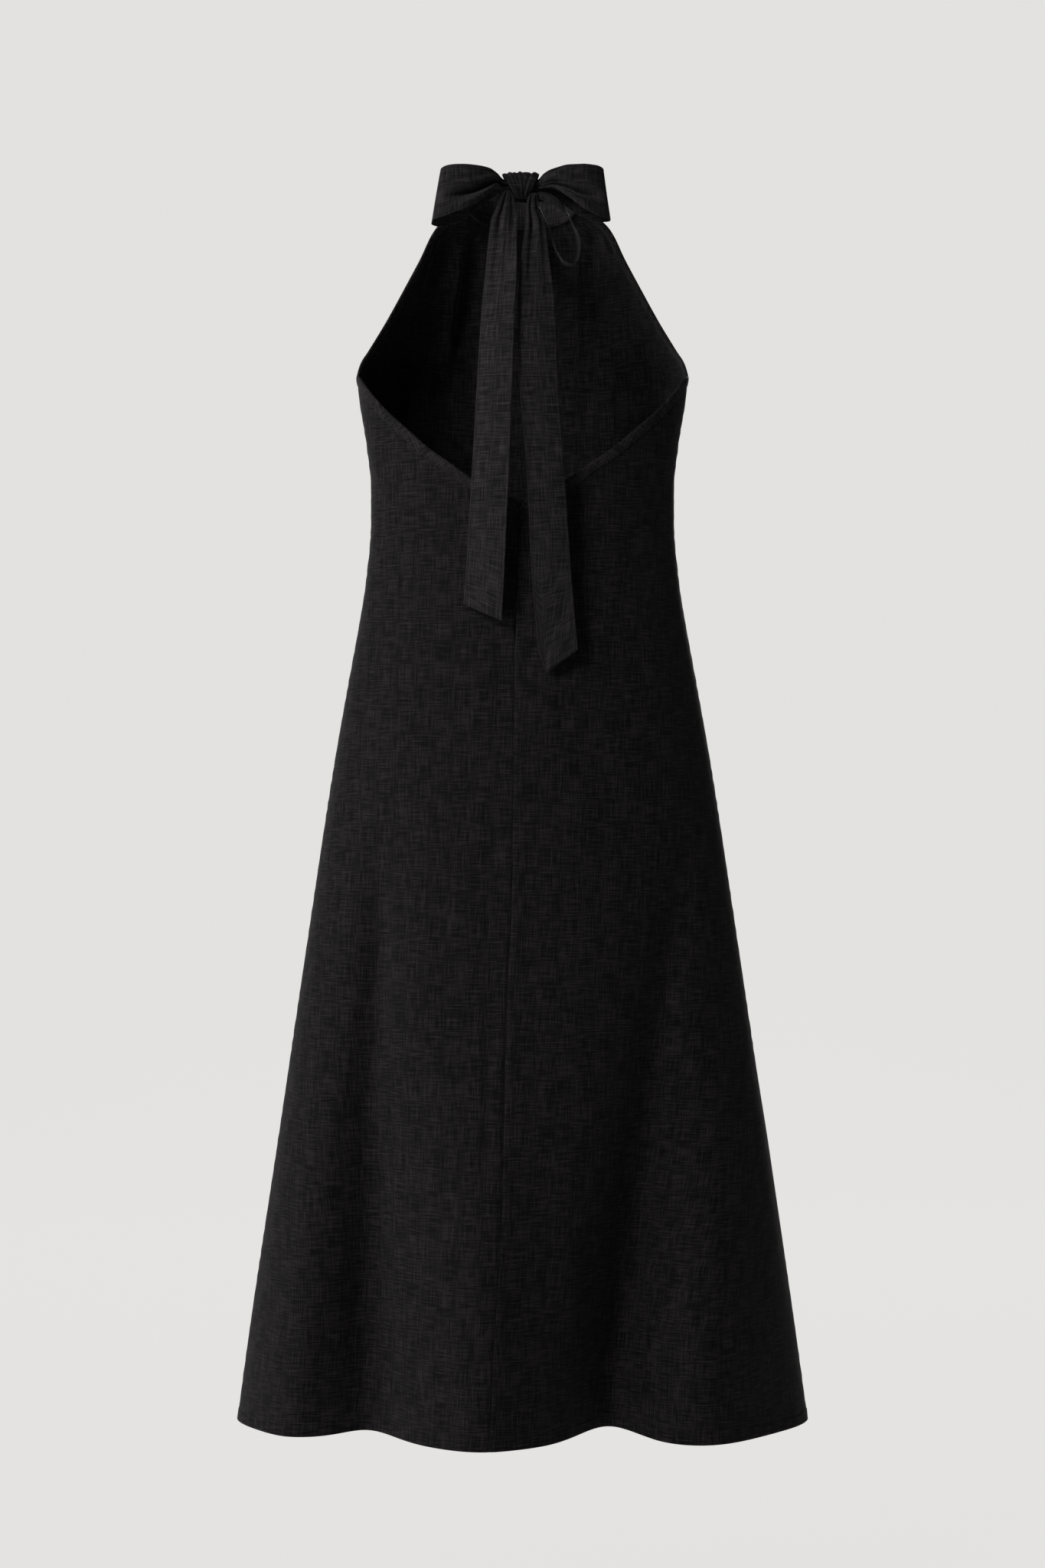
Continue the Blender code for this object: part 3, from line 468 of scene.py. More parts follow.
def unit(vectors: np.ndarray) -> np.ndarray:
    """Vectors of length one, along the last axis."""
    return vectors / np.maximum(np.linalg.norm(vectors, axis=-1, keepdims=True), 1e-9)


def grid_normals(points: np.ndarray) -> np.ndarray:
    """Unit normals of a grid of points, rows crossed with columns."""
    return unit(np.cross(np.gradient(points, axis=0), np.gradient(points, axis=1)))


def outward_normals(points: np.ndarray) -> np.ndarray:
    """Normals of a body grid that point away from the dress's upright axis."""
    normals = grid_normals(points)
    away = points * LEVEL
    facing = np.sign(np.sum(normals * away, axis=-1, keepdims=True))
    return normals * np.where(facing == 0.0, 1.0, facing)


def crease_relief(creases: Sequence[Crease], x: np.ndarray, z: np.ndarray) -> np.ndarray:
    """Outward relief of the listed creases over a grid.

    Args:
        creases: the creases.
        x: sideways places.
        z: heights.

    Returns:
        The relief in millimetres, plus is outward.
    """
    relief = np.zeros_like(x)
    for crease in creases:
        run_x, run_z = crease.end_x - crease.start_x, crease.end_z - crease.start_z
        length = math.hypot(run_x, run_z)
        along = ((x - crease.start_x) * run_x + (z - crease.start_z) * run_z) / length ** 2
        offset = ((x - crease.start_x) * -run_z + (z - crease.start_z) * run_x) / length
        offset = offset - crease.bend * 4.0 * along * (1.0 - along)
        width = crease.width * (1.0 + np.where(offset > 0.0, crease.skew, -crease.skew))
        ends = smooth_step(along / crease.fade) * smooth_step((1.0 - along) / crease.fade)
        relief += crease.reach * ends * bell(offset, width)
    return relief


def uneven_wave(place: Number, pitch: float, seed: float) -> Number:
    """A wave between -1 and 1 whose crests are unevenly spaced, for puckers and gathers."""
    turn = 2.0 * math.pi * place / pitch + seed
    drift = 1.1 * np.sin(turn * 0.173 + 2.0 * seed) + 0.7 * np.sin(turn * 0.411 + seed * 3.3)
    height = 0.65 + 0.35 * np.sin(turn * 0.137 + seed * 1.7)
    return np.sin(turn + drift) * height


class Body:
    """The filled-out form that the panels lie on, with its hanging folds."""

    half_width_at = table_curve(SECTIONS, "height", "half_width")
    front_depth_at = table_curve(SECTIONS, "height", "front_depth")
    back_depth_at = table_curve(SECTIONS, "height", "back_depth")
    neckline_at = table_curve(BACK_NECKLINE, "place", "value")
    seam_by_drop = table_curve(CENTRE_SEAM, "place", "value")
    band_lower_at = table_curve(NECK_BAND, "turn", "lower_height")
    band_height_at = table_curve(NECK_BAND, "turn", "band_height")

    @classmethod
    def seam_x(cls, height: Number) -> Number:
        """Sideways place of the centre back seam at a height."""
        return cls.seam_by_drop(-height)

    @classmethod
    def hem_z(cls, folds: Sequence[HangingFold], x: Number) -> Number:
        """Height of the hem, which is pulled up a little where a fold turns in."""
        lift = sum(fold.hem_lift * bell(x - fold.hem_x, fold.width) for fold in folds)
        return HEM_HEIGHT + lift

    @classmethod
    def fold_reach(cls, folds: Sequence[HangingFold], x: Number, height: Number) -> Number:
        """How far the hanging folds push the cloth outward."""
        total = np.zeros(np.broadcast(x, height).shape)
        for fold in folds:
            down = (fold.top_height - height) / (fold.top_height - HEM_HEIGHT)
            centre = fold.top_x + (fold.hem_x - fold.top_x) * np.clip(down, 0.0, 1.0)
            total += fold.reach * smooth_step(down) * bell(x - centre, fold.width)
        return total

    @classmethod
    def point(cls, turn: np.ndarray, height: np.ndarray, is_front: bool) -> np.ndarray:
        """Points of the body's middle surface.

        Args:
            turn: angles in radians from the left side seam, through the front or the back.
            height: heights of the points.
            is_front: whether the turn goes through the front.

        Returns:
            The points in millimetres, on the last axis.
        """
        half_width = cls.half_width_at(height)
        x = -half_width * np.cos(turn)
        depth_at = cls.front_depth_at if is_front else cls.back_depth_at
        folds = FRONT_FOLDS if is_front else BACK_FOLDS
        side_fade = smooth_step(np.sin(turn) / 0.3)
        depth = depth_at(height) * np.sin(turn) + cls.fold_reach(folds, x, height) * side_fade
        return np.stack(np.broadcast_arrays(x, depth if is_front else -depth, height), axis=-1)

    @classmethod
    def neck_point(cls, turn: Number, lift: Number = 0.0) -> np.ndarray:
        """Points on the neck band's lower edge, by turn in degrees from the front centre."""
        angle = np.radians(turn)
        reach = np.where(np.cos(angle) > 0.0, NECK_FRONT_DEPTH, NECK_BACK_DEPTH)
        height = cls.band_lower_at(np.abs(turn)) + lift
        x, y = NECK_HALF_WIDTH * np.sin(angle), reach * np.cos(angle)
        return np.stack(np.broadcast_arrays(x, y, height), axis=-1)

    @classmethod
    def yoke_curves(cls) -> list[Curve]:
        """Curves of the yoke rows' columns, from the neck (0) to the underarm (1)."""
        join = cls.neck_point(FRONT_JOIN_TURN, NECK_TUCK)
        centre = cls.neck_point(0.0, NECK_TUCK)
        first = YokeRow(join[0], join[1], join[2], centre[1], centre[2], FRONT_JOIN_TURN)
        top = SECTIONS[0]
        last = YokeRow(top.half_width, 0.0, top.height, top.front_depth, top.height, 90.0)
        rows = (first, *YOKE_ROWS, last)
        drops = [first.edge_height - row.edge_height for row in rows]
        places = [drop / drops[-1] for drop in drops]
        return [Curve(places, [row[column] for row in rows]) for column in range(len(first))]

    @classmethod
    def yoke_point(cls, across: np.ndarray, place: np.ndarray) -> np.ndarray:
        """Points of the front above the underarm, whose top row follows the neck band.

        Args:
            across: -1 at the left armhole edge to 1 at the right one.
            place: 0 at the neck band to 1 at the underarm.

        Returns:
            The points in millimetres.
        """
        curves = cls.yoke_curves()

        def row_point(at: np.ndarray) -> np.ndarray:
            """Points on the table's own rows."""
            edge_x, edge_y, edge_z, centre_y, centre_z, half_turn = (curve(at) for curve in curves)
            limit = np.radians(half_turn)
            turn = across * limit
            rise = (np.cos(turn) - np.cos(limit)) / (1.0 - np.cos(limit))
            x = edge_x * np.sin(turn) / np.sin(limit)
            y = edge_y + (centre_y - edge_y) * rise
            z = edge_z + (centre_z - edge_z) * rise
            return np.stack(np.broadcast_arrays(x, y, z), axis=-1)

        band_share = 1.0 - smooth_step(place / BAND_INFLUENCE)
        band_offset = cls.neck_point(FRONT_JOIN_TURN * across, NECK_TUCK) - row_point(np.zeros_like(place))
        return row_point(place) + band_offset * band_share[..., None]


class Shade:
    """A shader socket on which Python's operators add Math nodes."""

    def __init__(self, recipe: "Recipe", socket: bpy.types.NodeSocket) -> None:
        """Keep the socket and the recipe that it belongs to."""
        self.recipe = recipe
        self.socket = socket

    def math(self, operation: str, *others: Union["Shade", float], swap: bool = False) -> "Shade":
        """Add a Math node.

        Args:
            operation: the Math node's operation.
            others: its other values or sockets.
            swap: whether this socket is the second one.

        Returns:
            The result's socket.
        """
        values = [self, *others]
        if swap:
            values.reverse()
        return self.recipe.node("ShaderNodeMath", {"operation": operation}, dict(enumerate(values)))

    def __add__(self, other: Union["Shade", float]) -> "Shade":
        """Sum."""
        return self.math("ADD", other)

    __radd__ = __add__

    def __mul__(self, other: Union["Shade", float]) -> "Shade":
        """Product."""
        return self.math("MULTIPLY", other)

    __rmul__ = __mul__

    def __sub__(self, other: Union["Shade", float]) -> "Shade":
        """Difference."""
        return self.math("SUBTRACT", other)

    def __rsub__(self, other: Union["Shade", float]) -> "Shade":
        """Difference from a number."""
        return self.math("SUBTRACT", other, swap=True)

    def between(self, low: float, high: float) -> "Shade":
        """A soft 0 to 1 step between two values."""
        return self.recipe.node(
            "ShaderNodeMapRange",
            {"interpolation_type": "SMOOTHSTEP"},
            {"Value": self, "From Min": low, "From Max": high},
        )


class Recipe:
    """A material's node tree, written node by node."""

    def __init__(self, name: str) -> None:
        """Start a material with an empty tree."""
        self.material = bpy.data.materials.new(name)
        self.material.use_nodes = True
        self.tree = self.material.node_tree
        self.tree.nodes.clear()

    def node(
        self,
        kind: str,
        settings: dict[str, object],
        inputs: dict[Union[str, int], object],
        output: Union[str, int] = 0,
    ) -> Shade:
        """Add one node.

        Args:
            kind: the node's type.
            settings: its own settings, set first.
            inputs: values or sockets for its inputs.
            output: which output to hand back.

        Returns:
            That output's socket.
        """
        node = self.tree.nodes.new(kind)
        for key, value in settings.items():
            setattr(node, key, value)
        for key, value in inputs.items():
            if isinstance(value, Shade):
                self.tree.links.new(value.socket, node.inputs[key])
            else:
                node.inputs[key].default_value = value
        return Shade(self, node.outputs[output])

    def noise(self, place: Shade, scale: tuple[float, float, float], detail: float = 1.0) -> Shade:
        """Noise stretched over a place, around 0.5.

        Args:
            place: the place's vector.
            scale: cells for each unit along each axis.
            detail: the noise's octaves.

        Returns:
            The noise's value.
        """
        stretched = self.node("ShaderNodeVectorMath", {"operation": "MULTIPLY"}, {0: place, 1: scale})
        return self.node(
            "ShaderNodeTexNoise", {"noise_dimensions": "3D"},
            {"Vector": stretched, "Scale": 1.0, "Detail": detail, "Roughness": 0.5},
        )

    def finish(self, shader: Shade) -> None:
        """Join the shader to the material's output."""
        end = self.tree.nodes.new("ShaderNodeOutputMaterial")
        self.tree.links.new(shader.socket, end.inputs["Surface"])


class Grain(Enum):
    """How a piece is cut from the linen, as the grain's turn in degrees."""

    STRAIGHT = 0.0
    BIAS = 45.0


class Cells(NamedTuple):
    """Noise cells for each millimetre across, along and through the cloth, and their detail."""

    scale: tuple[float, float, float]
    detail: float = 1.0


WARP_THREADS = Cells((0.80, 0.042, 1.0), 1.5)
WEFT_THREADS = Cells((0.046, 0.76, 1.0), 1.5)
WARP_SLUBS = Cells((0.62, 0.036, 2.0))
WEFT_SLUBS = Cells((0.045, 0.66, 3.0))
WARP_BANDS = Cells((0.19, 0.011, 4.0))
MOTTLE = Cells((0.055, 0.045, 5.0), 3.0)
CRUMPLE = Cells((0.035, 0.022, 6.0), 2.0)


@dataclass(frozen=True)
class LinenFinish:
    """A near black linen with uneven slubs both ways."""

    name: str
    dark: tuple[float, float, float] = (0.0046, 0.0040, 0.0042)
    light: tuple[float, float, float] = (0.0430, 0.0376, 0.0398)
    grain: Grain = Grain.STRAIGHT
    thread_pitch: float = 0.75
    slub_strength: float = 1.0
    contrast: float = 1.0
    crumple: float = 1.0
    warp_depth: float = 2.1
    weft_depth: float = 2.4
    roughness: float = 0.86
    sheen: float = 0.10

    def material(self) -> bpy.types.Material:
        """Build the cloth's material, which follows the piece's own UV map in metres."""
        recipe = Recipe(self.name)
        uv = recipe.node("ShaderNodeUVMap", {"uv_map": "cloth"}, {})
        place = recipe.node(
            "ShaderNodeMapping", {"vector_type": "POINT"},
            {
                "Vector": uv, "Scale": (1000.0, 1000.0, 1000.0),
                "Rotation": (0.0, 0.0, math.radians(self.grain.value)),
            },
        )
        warp = recipe.noise(place, *WARP_THREADS)
        weft = recipe.noise(place, *WEFT_THREADS)
        warp_slub = recipe.noise(place, *WARP_SLUBS).between(0.60, 0.72)
        weft_slub = recipe.noise(place, *WEFT_SLUBS).between(0.59, 0.71)
        warp_band = recipe.noise(place, *WARP_BANDS)
        mottle = recipe.noise(place, *MOTTLE)
        weave = self.weave(recipe, place, warp, weft)
        threads = ((warp - 0.5) * self.warp_depth + (weft - 0.5) * self.weft_depth) * self.contrast
        slubs = (warp_slub * 0.46 + weft_slub * 0.62) * self.slub_strength
        cloud = ((mottle - 0.5) * 0.75 + (warp_band - 0.5) * 0.55) * self.contrast
        # The weave's height also lightens the colour a little: painted shade in the hollows between
        # crossing threads. Threads, slubs and clouds are the yarn's own uneven tone.
        lightness = (threads + slubs + cloud + weave * 0.10 + 0.14).between(-0.35, 1.15)
        colour = recipe.node(
            "ShaderNodeMix", {"data_type": "RGBA"},
            {"Factor": lightness, "A": (*self.dark, 1.0), "B": (*self.light, 1.0)}, 2,
        )
        crumple = recipe.noise(place, *CRUMPLE)
        height = (
            weave * 0.05 + (warp + weft) * 0.16 + (warp_slub + weft_slub) * 0.07 * self.slub_strength
            + crumple * (1.3 * self.crumple)
        )
        normal = recipe.node("ShaderNodeBump", {}, {"Strength": 1.0, "Distance": 0.001, "Height": height})
        shader = recipe.node(
            "ShaderNodeBsdfPrincipled", {},
            {
                "Base Color": colour, "Roughness": self.roughness, "Normal": normal,
                "Specular IOR Level": 0.25, "Sheen Weight": self.sheen, "Sheen Roughness": 0.45,
            },
        )
        recipe.finish(shader)
        return recipe.material

    def weave(self, recipe: Recipe, place: Shade, warp: Shade, weft: Shade) -> Shade:
        """Height of a plain weave whose threads wander, from 0 to 1."""
        parts = recipe.node("ShaderNodeSeparateXYZ", {}, {"Vector": place})
        across = Shade(recipe, parts.socket.node.outputs[0])
        along = Shade(recipe, parts.socket.node.outputs[1])
        turns = math.pi / self.thread_pitch
        warp_wave = (across * turns + warp * 2.2).math("SINE")
        weft_wave = (along * turns + weft * 2.2).math("SINE")
        over = (warp_wave * weft_wave).between(-0.3, 0.3)
        return warp_wave.math("ABSOLUTE") * over + weft_wave.math("ABSOLUTE") * (1.0 - over)


@dataclass(frozen=True)
class PlainFinish:
    """A plain finish with a faint mottle, for sewing thread."""

    name: str
    colour: tuple[float, float, float]
    roughness: float
    mottle: float = 0.15
    cells_per_metre: float = 900.0

    def material(self) -> bpy.types.Material:
        """Build the material on Object coordinates."""
        recipe = Recipe(self.name)
        place = recipe.node("ShaderNodeTexCoord", {}, {}, "Object")
        cells = (self.cells_per_metre,) * 3
        mottle = recipe.noise(place, cells)
        low = tuple(value * (1.0 - self.mottle) for value in self.colour)
        high = tuple(value * (1.0 + self.mottle) for value in self.colour)
        colour = recipe.node(
            "ShaderNodeMix", {"data_type": "RGBA"},
            {"Factor": mottle, "A": (*low, 1.0), "B": (*high, 1.0)}, 2,
        )
        shader = recipe.node(
            "ShaderNodeBsdfPrincipled", {},
            {"Base Color": colour, "Roughness": self.roughness, "Specular IOR Level": 0.2},
        )
        recipe.finish(shader)
        return recipe.material


def put_in_scene(name: str, data: bpy.types.ID) -> bpy.types.Object:
    """Make an object of a mesh, a light or a camera and link it to the scene."""
    thing = bpy.data.objects.new(name, data)
    bpy.context.scene.collection.objects.link(thing)
    return thing


def arc_lengths(points: np.ndarray, axis: int) -> np.ndarray:
    """Distance run along a grid's rows (axis 1) or columns (axis 0)."""
    steps = np.linalg.norm(np.diff(points, axis=axis), axis=-1)
    start = np.zeros_like(np.take(steps, [0], axis=axis))
    return np.concatenate((start, np.cumsum(steps, axis=axis)), axis=axis)


@dataclass
class Shell:
    """A thin cloth piece: a grid laid on its middle surface, with a wall on both sides."""

    name: str
    points: np.ndarray
    wall: float
    centre_column: int = 0
    closed: bool = False
    upright: bool = False
    grain_shift: float = 0.0

    def build(self, material: bpy.types.Material, slot: str, node: str) -> bpy.types.Object:
        """Make the piece and put it in the place of its CAD node.

        Args:
            material: its cloth.
            slot: the record's material slot; not used.
            node: the CAD node that it stands for.

        Returns:
            The new object.
        """
        rows, columns = self.points.shape[:2]
        shape = bmesh.new()
        bmesh.ops.create_grid(shape, x_segments=columns - 1, y_segments=rows - 1)
        mesh = bpy.data.meshes.new(self.name)
        shape.to_mesh(mesh)
        mesh.vertices.foreach_set("co", (self.points * METRES_PER_MM).astype(np.float32).ravel())
        self.lay_grain(mesh)
        if self.closed:
            shape.clear()
            shape.from_mesh(mesh)
            bmesh.ops.remove_doubles(shape, verts=shape.verts, dist=0.00001)
            shape.to_mesh(mesh)
        shape.free()
        mesh.shade_smooth()
        mesh.materials.append(material)
        piece = put_in_scene(self.name, mesh)
        solidify = piece.modifiers.new("Cloth wall", "SOLIDIFY")
        solidify.thickness = self.wall * METRES_PER_MM
        solidify.offset = 0.0
        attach(piece, BODY)
        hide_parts(node)
        LOG.info("%s: %d x %d points", self.name, rows, columns)
        return piece

    def lay_grain(self, mesh: bpy.types.Mesh) -> None:
        """Lay the cloth's grain on the piece as a UV map in metres."""
        level = self.points * LEVEL if self.upright else self.points
        across = arc_lengths(level, 1)
        across = across - across[:, self.centre_column:self.centre_column + 1] + self.grain_shift
        along = np.broadcast_to(arc_lengths(self.points, 0).mean(axis=1, keepdims=True), across.shape)
        if self.upright:
            along = -self.points[..., 2]
        grain = np.stack((across, along), axis=-1).reshape(-1, 2) * METRES_PER_MM
        corners = np.empty(len(mesh.loops), np.int32)
        mesh.loops.foreach_get("vertex_index", corners)
        layer = mesh.uv_layers.new(name="cloth")
        layer.uv.foreach_set("vector", grain[corners].astype(np.float32).ravel())
        mesh.update()


@dataclass
class StitchRun:
    """A row of hand-even stitches laid along a line on the cloth, in millimetres."""

    name: str
    pitch: float = 3.1
    stitch_length: float = 2.3
    radius: float = 0.24

    def build(
        self,
        lines: Sequence[tuple[np.ndarray, np.ndarray]],
        material: bpy.types.Material,
    ) -> bpy.types.Object:
        """Lay the stitches.

        Args:
            lines: points along each run, and the outward normal at each.
            material: the thread.

        Returns:
            One object with all the stitches.
        """
        shape = bmesh.new()
        for points, normals in lines:
            for place, along, outward in self.places(points, normals):
                side = along.cross(outward).normalized()
                turn = Matrix((along, side, along.cross(side) * -1.0)).transposed().to_4x4()
                size = Matrix.Diagonal((self.stitch_length / 2.0, self.radius, self.radius, 1.0))
                matrix = Matrix.Scale(METRES_PER_MM, 4) @ Matrix.Translation(place) @ turn @ size
                bmesh.ops.create_icosphere(shape, subdivisions=1, radius=1.0, matrix=matrix)
        bmesh.ops.recalc_face_normals(shape, faces=shape.faces)
        mesh = bpy.data.meshes.new(self.name)
        shape.to_mesh(mesh)
        shape.free()
        mesh.shade_smooth()
        mesh.materials.append(material)
        piece = put_in_scene(self.name, mesh)
        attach(piece, BODY)
        LOG.info("%s: %d faces", self.name, len(mesh.polygons))
        return piece

    def places(self, points: np.ndarray, normals: np.ndarray) -> list[tuple[Vector, Vector, Vector]]:
        """Where each stitch lies, which way it runs and which way is out."""
        run = arc_lengths(points[None], 1)[0]
        result = []
        for distance in np.arange(self.pitch, run[-1] - self.pitch, self.pitch):
            middle = [np.interp(distance, run, points[:, axis]) for axis in range(3)]
            ahead = [np.interp(distance + 1.0, run, points[:, axis]) for axis in range(3)]
            outward = Vector([np.interp(distance, run, normals[:, axis]) for axis in range(3)])
            outward.normalize()
            place = Vector(middle) + outward * (self.radius * 0.3)
            result.append((place, (Vector(ahead) - Vector(middle)).normalized(), outward))
        return result


# The turned hem, in millimetres above its edge
HEM_FOLD_HEIGHT = 10.2
HEM_FOLD_STEP = 0.45
HEM_GROOVE_HEIGHT = 11.2
HEM_GROOVE_DEPTH = 0.40
HEM_PUCKER_REACH = 0.34
HEM_PUCKER_PITCH = 10.5
# Heights of the fine rows near the hem, and how far up they start
HEM_ROWS = np.array([20.0, 16.0, 13.8, 12.4, 11.6, 10.8, 10.0, 8.6, 6.0, 3.0, 0.0])
HEM_ROWS_REACH = 25.0
# The side seams' groove and the puckers beside it, in millimetres
SEAM_GROOVE_DEPTH = 0.5
SEAM_GROOVE_WIDTH = 1.6
SEAM_PUCKER_REACH = 0.3
SEAM_PUCKER_PITCH = 17.0
SEAM_PUCKER_PLACE = 4.0
SEAM_PUCKER_WIDTH = 5.0
SEAM_PUCKER_SEED = 1.3


def hem_relief(above_hem: np.ndarray, x: np.ndarray, seed: float) -> np.ndarray:
    """Relief of the narrow turned hem and its puckered stitch line."""
    turned = HEM_FOLD_STEP * (1.0 - smooth_step((above_hem - HEM_FOLD_HEIGHT) / 1.4))
    groove = -HEM_GROOVE_DEPTH * bell(above_hem - HEM_GROOVE_HEIGHT, 1.2)
    pucker = HEM_PUCKER_REACH * uneven_wave(x, HEM_PUCKER_PITCH, seed) * bell(above_hem - 10.0, 7.0)
    return turned + groove + pucker


def hem_parts(count: int, power: float, length: float) -> np.ndarray:
    """Rows from the top (0) to the hem (1), with fine rows where the hem is turned."""
    main = np.linspace(0.0, 1.0, count) ** power * (1.0 - HEM_ROWS_REACH / length)
    return np.concatenate((main, 1.0 - HEM_ROWS / length))


def side_seam_relief(distance: np.ndarray, height: np.ndarray) -> np.ndarray:
    """Relief of a side seam by distance from it: its groove and the puckers beside it."""
    groove = -SEAM_GROOVE_DEPTH * bell(distance, SEAM_GROOVE_WIDTH)
    pucker = SEAM_PUCKER_REACH * uneven_wave(height, SEAM_PUCKER_PITCH, SEAM_PUCKER_SEED)
    return groove + pucker * bell(distance - SEAM_PUCKER_PLACE, SEAM_PUCKER_WIDTH)


class GatherRow(NamedTuple):
    """Gathers across the front's top edge: how many, how they start, their reach and their fade."""

    count: float
    seed: float
    reach: float
    fade: float


NECK_GATHERS = (GatherRow(13.0, 0.7, 2.0, 0.44), GatherRow(31.0, 2.1, 0.8, 0.15))
SOFT_FOLD_COUNT = 5.0
SOFT_FOLD_REACH = 1.4
# Where the centre back seam is drawn in deepest, and over what height
DRAWN_HEIGHT = -935.0
DRAWN_REACH = 95.0
# The centre seam's puckers and the allowance pressed to one side of it
CENTRE_PUCKER_REACH = 0.42
CENTRE_PUCKER_PITCH = 23.0
CENTRE_PUCKER_WIDTH = 9.0
ALLOWANCE_WIDTH = 8.5
ALLOWANCE_RAISED = 0.40
ALLOWANCE_FLAT = 0.12


@dataclass
class FrontPanel:
    """The front, in one piece from the gathered neck to the hem."""

    columns: int = 172
    yoke_rows: int = 100
    skirt_rows: int = 132
    wall: float = PANEL_WALL
    flat: tuple[float, float] = (0.86, 1.34)
    flat_area: float = 0.735

    def points(self) -> np.ndarray:
        """The front's middle surface with its folds, gathers, seams and hem."""
        across = np.linspace(-1.0, 1.0, self.columns + 1)
        places = np.linspace(0.0, 1.0, self.yoke_rows + 1)[:-1]
        yoke_place, yoke_across = np.meshgrid(places, across, indexing="ij")
        yoke = Body.yoke_point(yoke_across, yoke_place)
        turn = np.linspace(0.0, math.pi, self.columns + 1)
        hem_x = -Body.half_width_at(HEM_HEIGHT) * np.cos(turn)
        hem = Body.hem_z(FRONT_FOLDS, hem_x)
        parts = hem_parts(self.skirt_rows, 1.12, UNDERARM_HEIGHT - HEM_HEIGHT)
        height = UNDERARM_HEIGHT + (hem - UNDERARM_HEIGHT)[None, :] * parts[:, None]
        skirt = Body.point(np.broadcast_to(turn, height.shape), height, True)
        base = np.concatenate((yoke, skirt))
        fade = np.concatenate((
            smooth_step((1.0 - np.abs(yoke_across)) / 0.07),
            np.broadcast_to(smooth_step(np.sin(turn) / 0.10), height.shape),
        ))
        relief = crease_relief(FRONT_CREASES, base[..., 0], base[..., 2]) * fade
        relief[: self.yoke_rows] += self.gathers(yoke_across, yoke_place)
        relief[self.yoke_rows:] += self.seams(skirt) + hem_relief(height - hem, skirt[..., 0], 2.0)
        return base + outward_normals(base) * relief[..., None]

    def gathers(self, across: np.ndarray, place: np.ndarray) -> np.ndarray:
        """Relief of the gathers at the neck and the soft folds that they run into."""
        edge_fade = smooth_step((1.0 - np.abs(across)) / 0.14) * (0.22 + 0.78 * smooth_step(place / 0.06))
        gathers = sum(
            row.reach * uneven_wave(across, 2.0 / row.count, row.seed)
            * (1.0 - smooth_step(place / row.fade))
            for row in NECK_GATHERS
        )
        soft_fade = smooth_step(place / 0.1) * (1.0 - smooth_step((place - 0.25) / 0.75))
        soft = np.sin(math.pi * SOFT_FOLD_COUNT * across + 0.7) * SOFT_FOLD_REACH * soft_fade
        return edge_fade * (gathers + soft)

    def seams(self, skirt: np.ndarray) -> np.ndarray:
        """Relief of the side seams."""
        run = arc_lengths(skirt, 1)
        height = skirt[..., 2]
        return side_seam_relief(run, height) + side_seam_relief(run[:, -1:] - run, height)


@dataclass
class BackPanel:
    """One back, from the open neckline to the hem, between a side seam and the centre seam."""

    side: int
    columns: int = 104
    rows: int = 176
    wall: float = PANEL_WALL

    def shares(self) -> np.ndarray:
        """Columns from the side seam (0) to the centre seam (1), finer at the centre seam."""
        even = np.linspace(0.0, 1.0, self.columns + 1)
        fine = 1.0 - np.array([2.5, 1.5, 0.75, 0.5, 0.25]) / self.columns
        return np.sort(np.concatenate((even, fine)))

    def points(self) -> np.ndarray:
        """This back's middle surface with its folds, seams and hem."""
        shares = self.shares()
        top = Body.neckline_at(90.0 * shares)
        hem_half = Body.half_width_at(HEM_HEIGHT)
        hem_turn = shares * math.acos(self.side * float(Body.seam_x(HEM_HEIGHT)) / hem_half)
        hem = Body.hem_z(BACK_FOLDS, self.side * hem_half * np.cos(hem_turn))
        parts = hem_parts(self.rows, 1.15, UNDERARM_HEIGHT - HEM_HEIGHT)
        height = top + (hem - top) * parts[:, None]
        seam_turn = np.arccos(self.side * Body.seam_x(height) / Body.half_width_at(height))
        turn = shares * seam_turn
        base = Body.point(turn if self.side < 0 else math.pi - turn, height, False)
        relief = crease_relief(BACK_CREASES, base[..., 0], base[..., 2])
        relief *= smooth_step(shares / 0.06) * smooth_step((top - height) / 12.0 + 0.15)
        relief += self.seams(base) + hem_relief(height - hem, base[..., 0], 5.0)
        return base + outward_normals(base) * relief[..., None]

    def seams(self, base: np.ndarray) -> np.ndarray:
        """Relief of the side seam and of the puckered centre seam, whose allowance lies to the right."""
        run = arc_lengths(base, 1)
        side, centre = run, run[:, -1:] - run
        height = base[..., 2]
        deep = 1.0 + 1.6 * bell(height - DRAWN_HEIGHT, DRAWN_REACH)
        relief = -0.5 * deep * bell(centre, 1.5 + 0.4 * deep)
        pucker = CENTRE_PUCKER_REACH * uneven_wave(height, CENTRE_PUCKER_PITCH, 0.4)
        relief += pucker * bell(centre, CENTRE_PUCKER_WIDTH)
        allowance = ALLOWANCE_RAISED if self.side > 0 else ALLOWANCE_FLAT
        raised = smooth_step(centre / 1.8) * (1.0 - smooth_step((centre - ALLOWANCE_WIDTH) / 3.5))
        relief += allowance * raised
        return relief + side_seam_relief(side, height)


class BindingPoint(NamedTuple):
    """One corner of the binding's middle, in from the cloth's edge and out from its middle."""

    reach: float
    offset: float


BINDING_SIDE = table(BindingPoint, (
    (8.6, 0.80), (7.7, 0.86), (6.9, 0.80), (6.0, 1.02), (4.4, 1.28), (2.6, 1.38), (1.0, 1.34),
    (-0.3, 1.12), (-1.0, 0.62),
))
BINDING_PROFILE = (
    *BINDING_SIDE, BindingPoint(-1.2, 0.0),
    *(BindingPoint(point.reach, -point.offset) for point in reversed(BINDING_SIDE)),
)
STITCH_COLUMN = 2
HEM_STITCH_ROW = -6


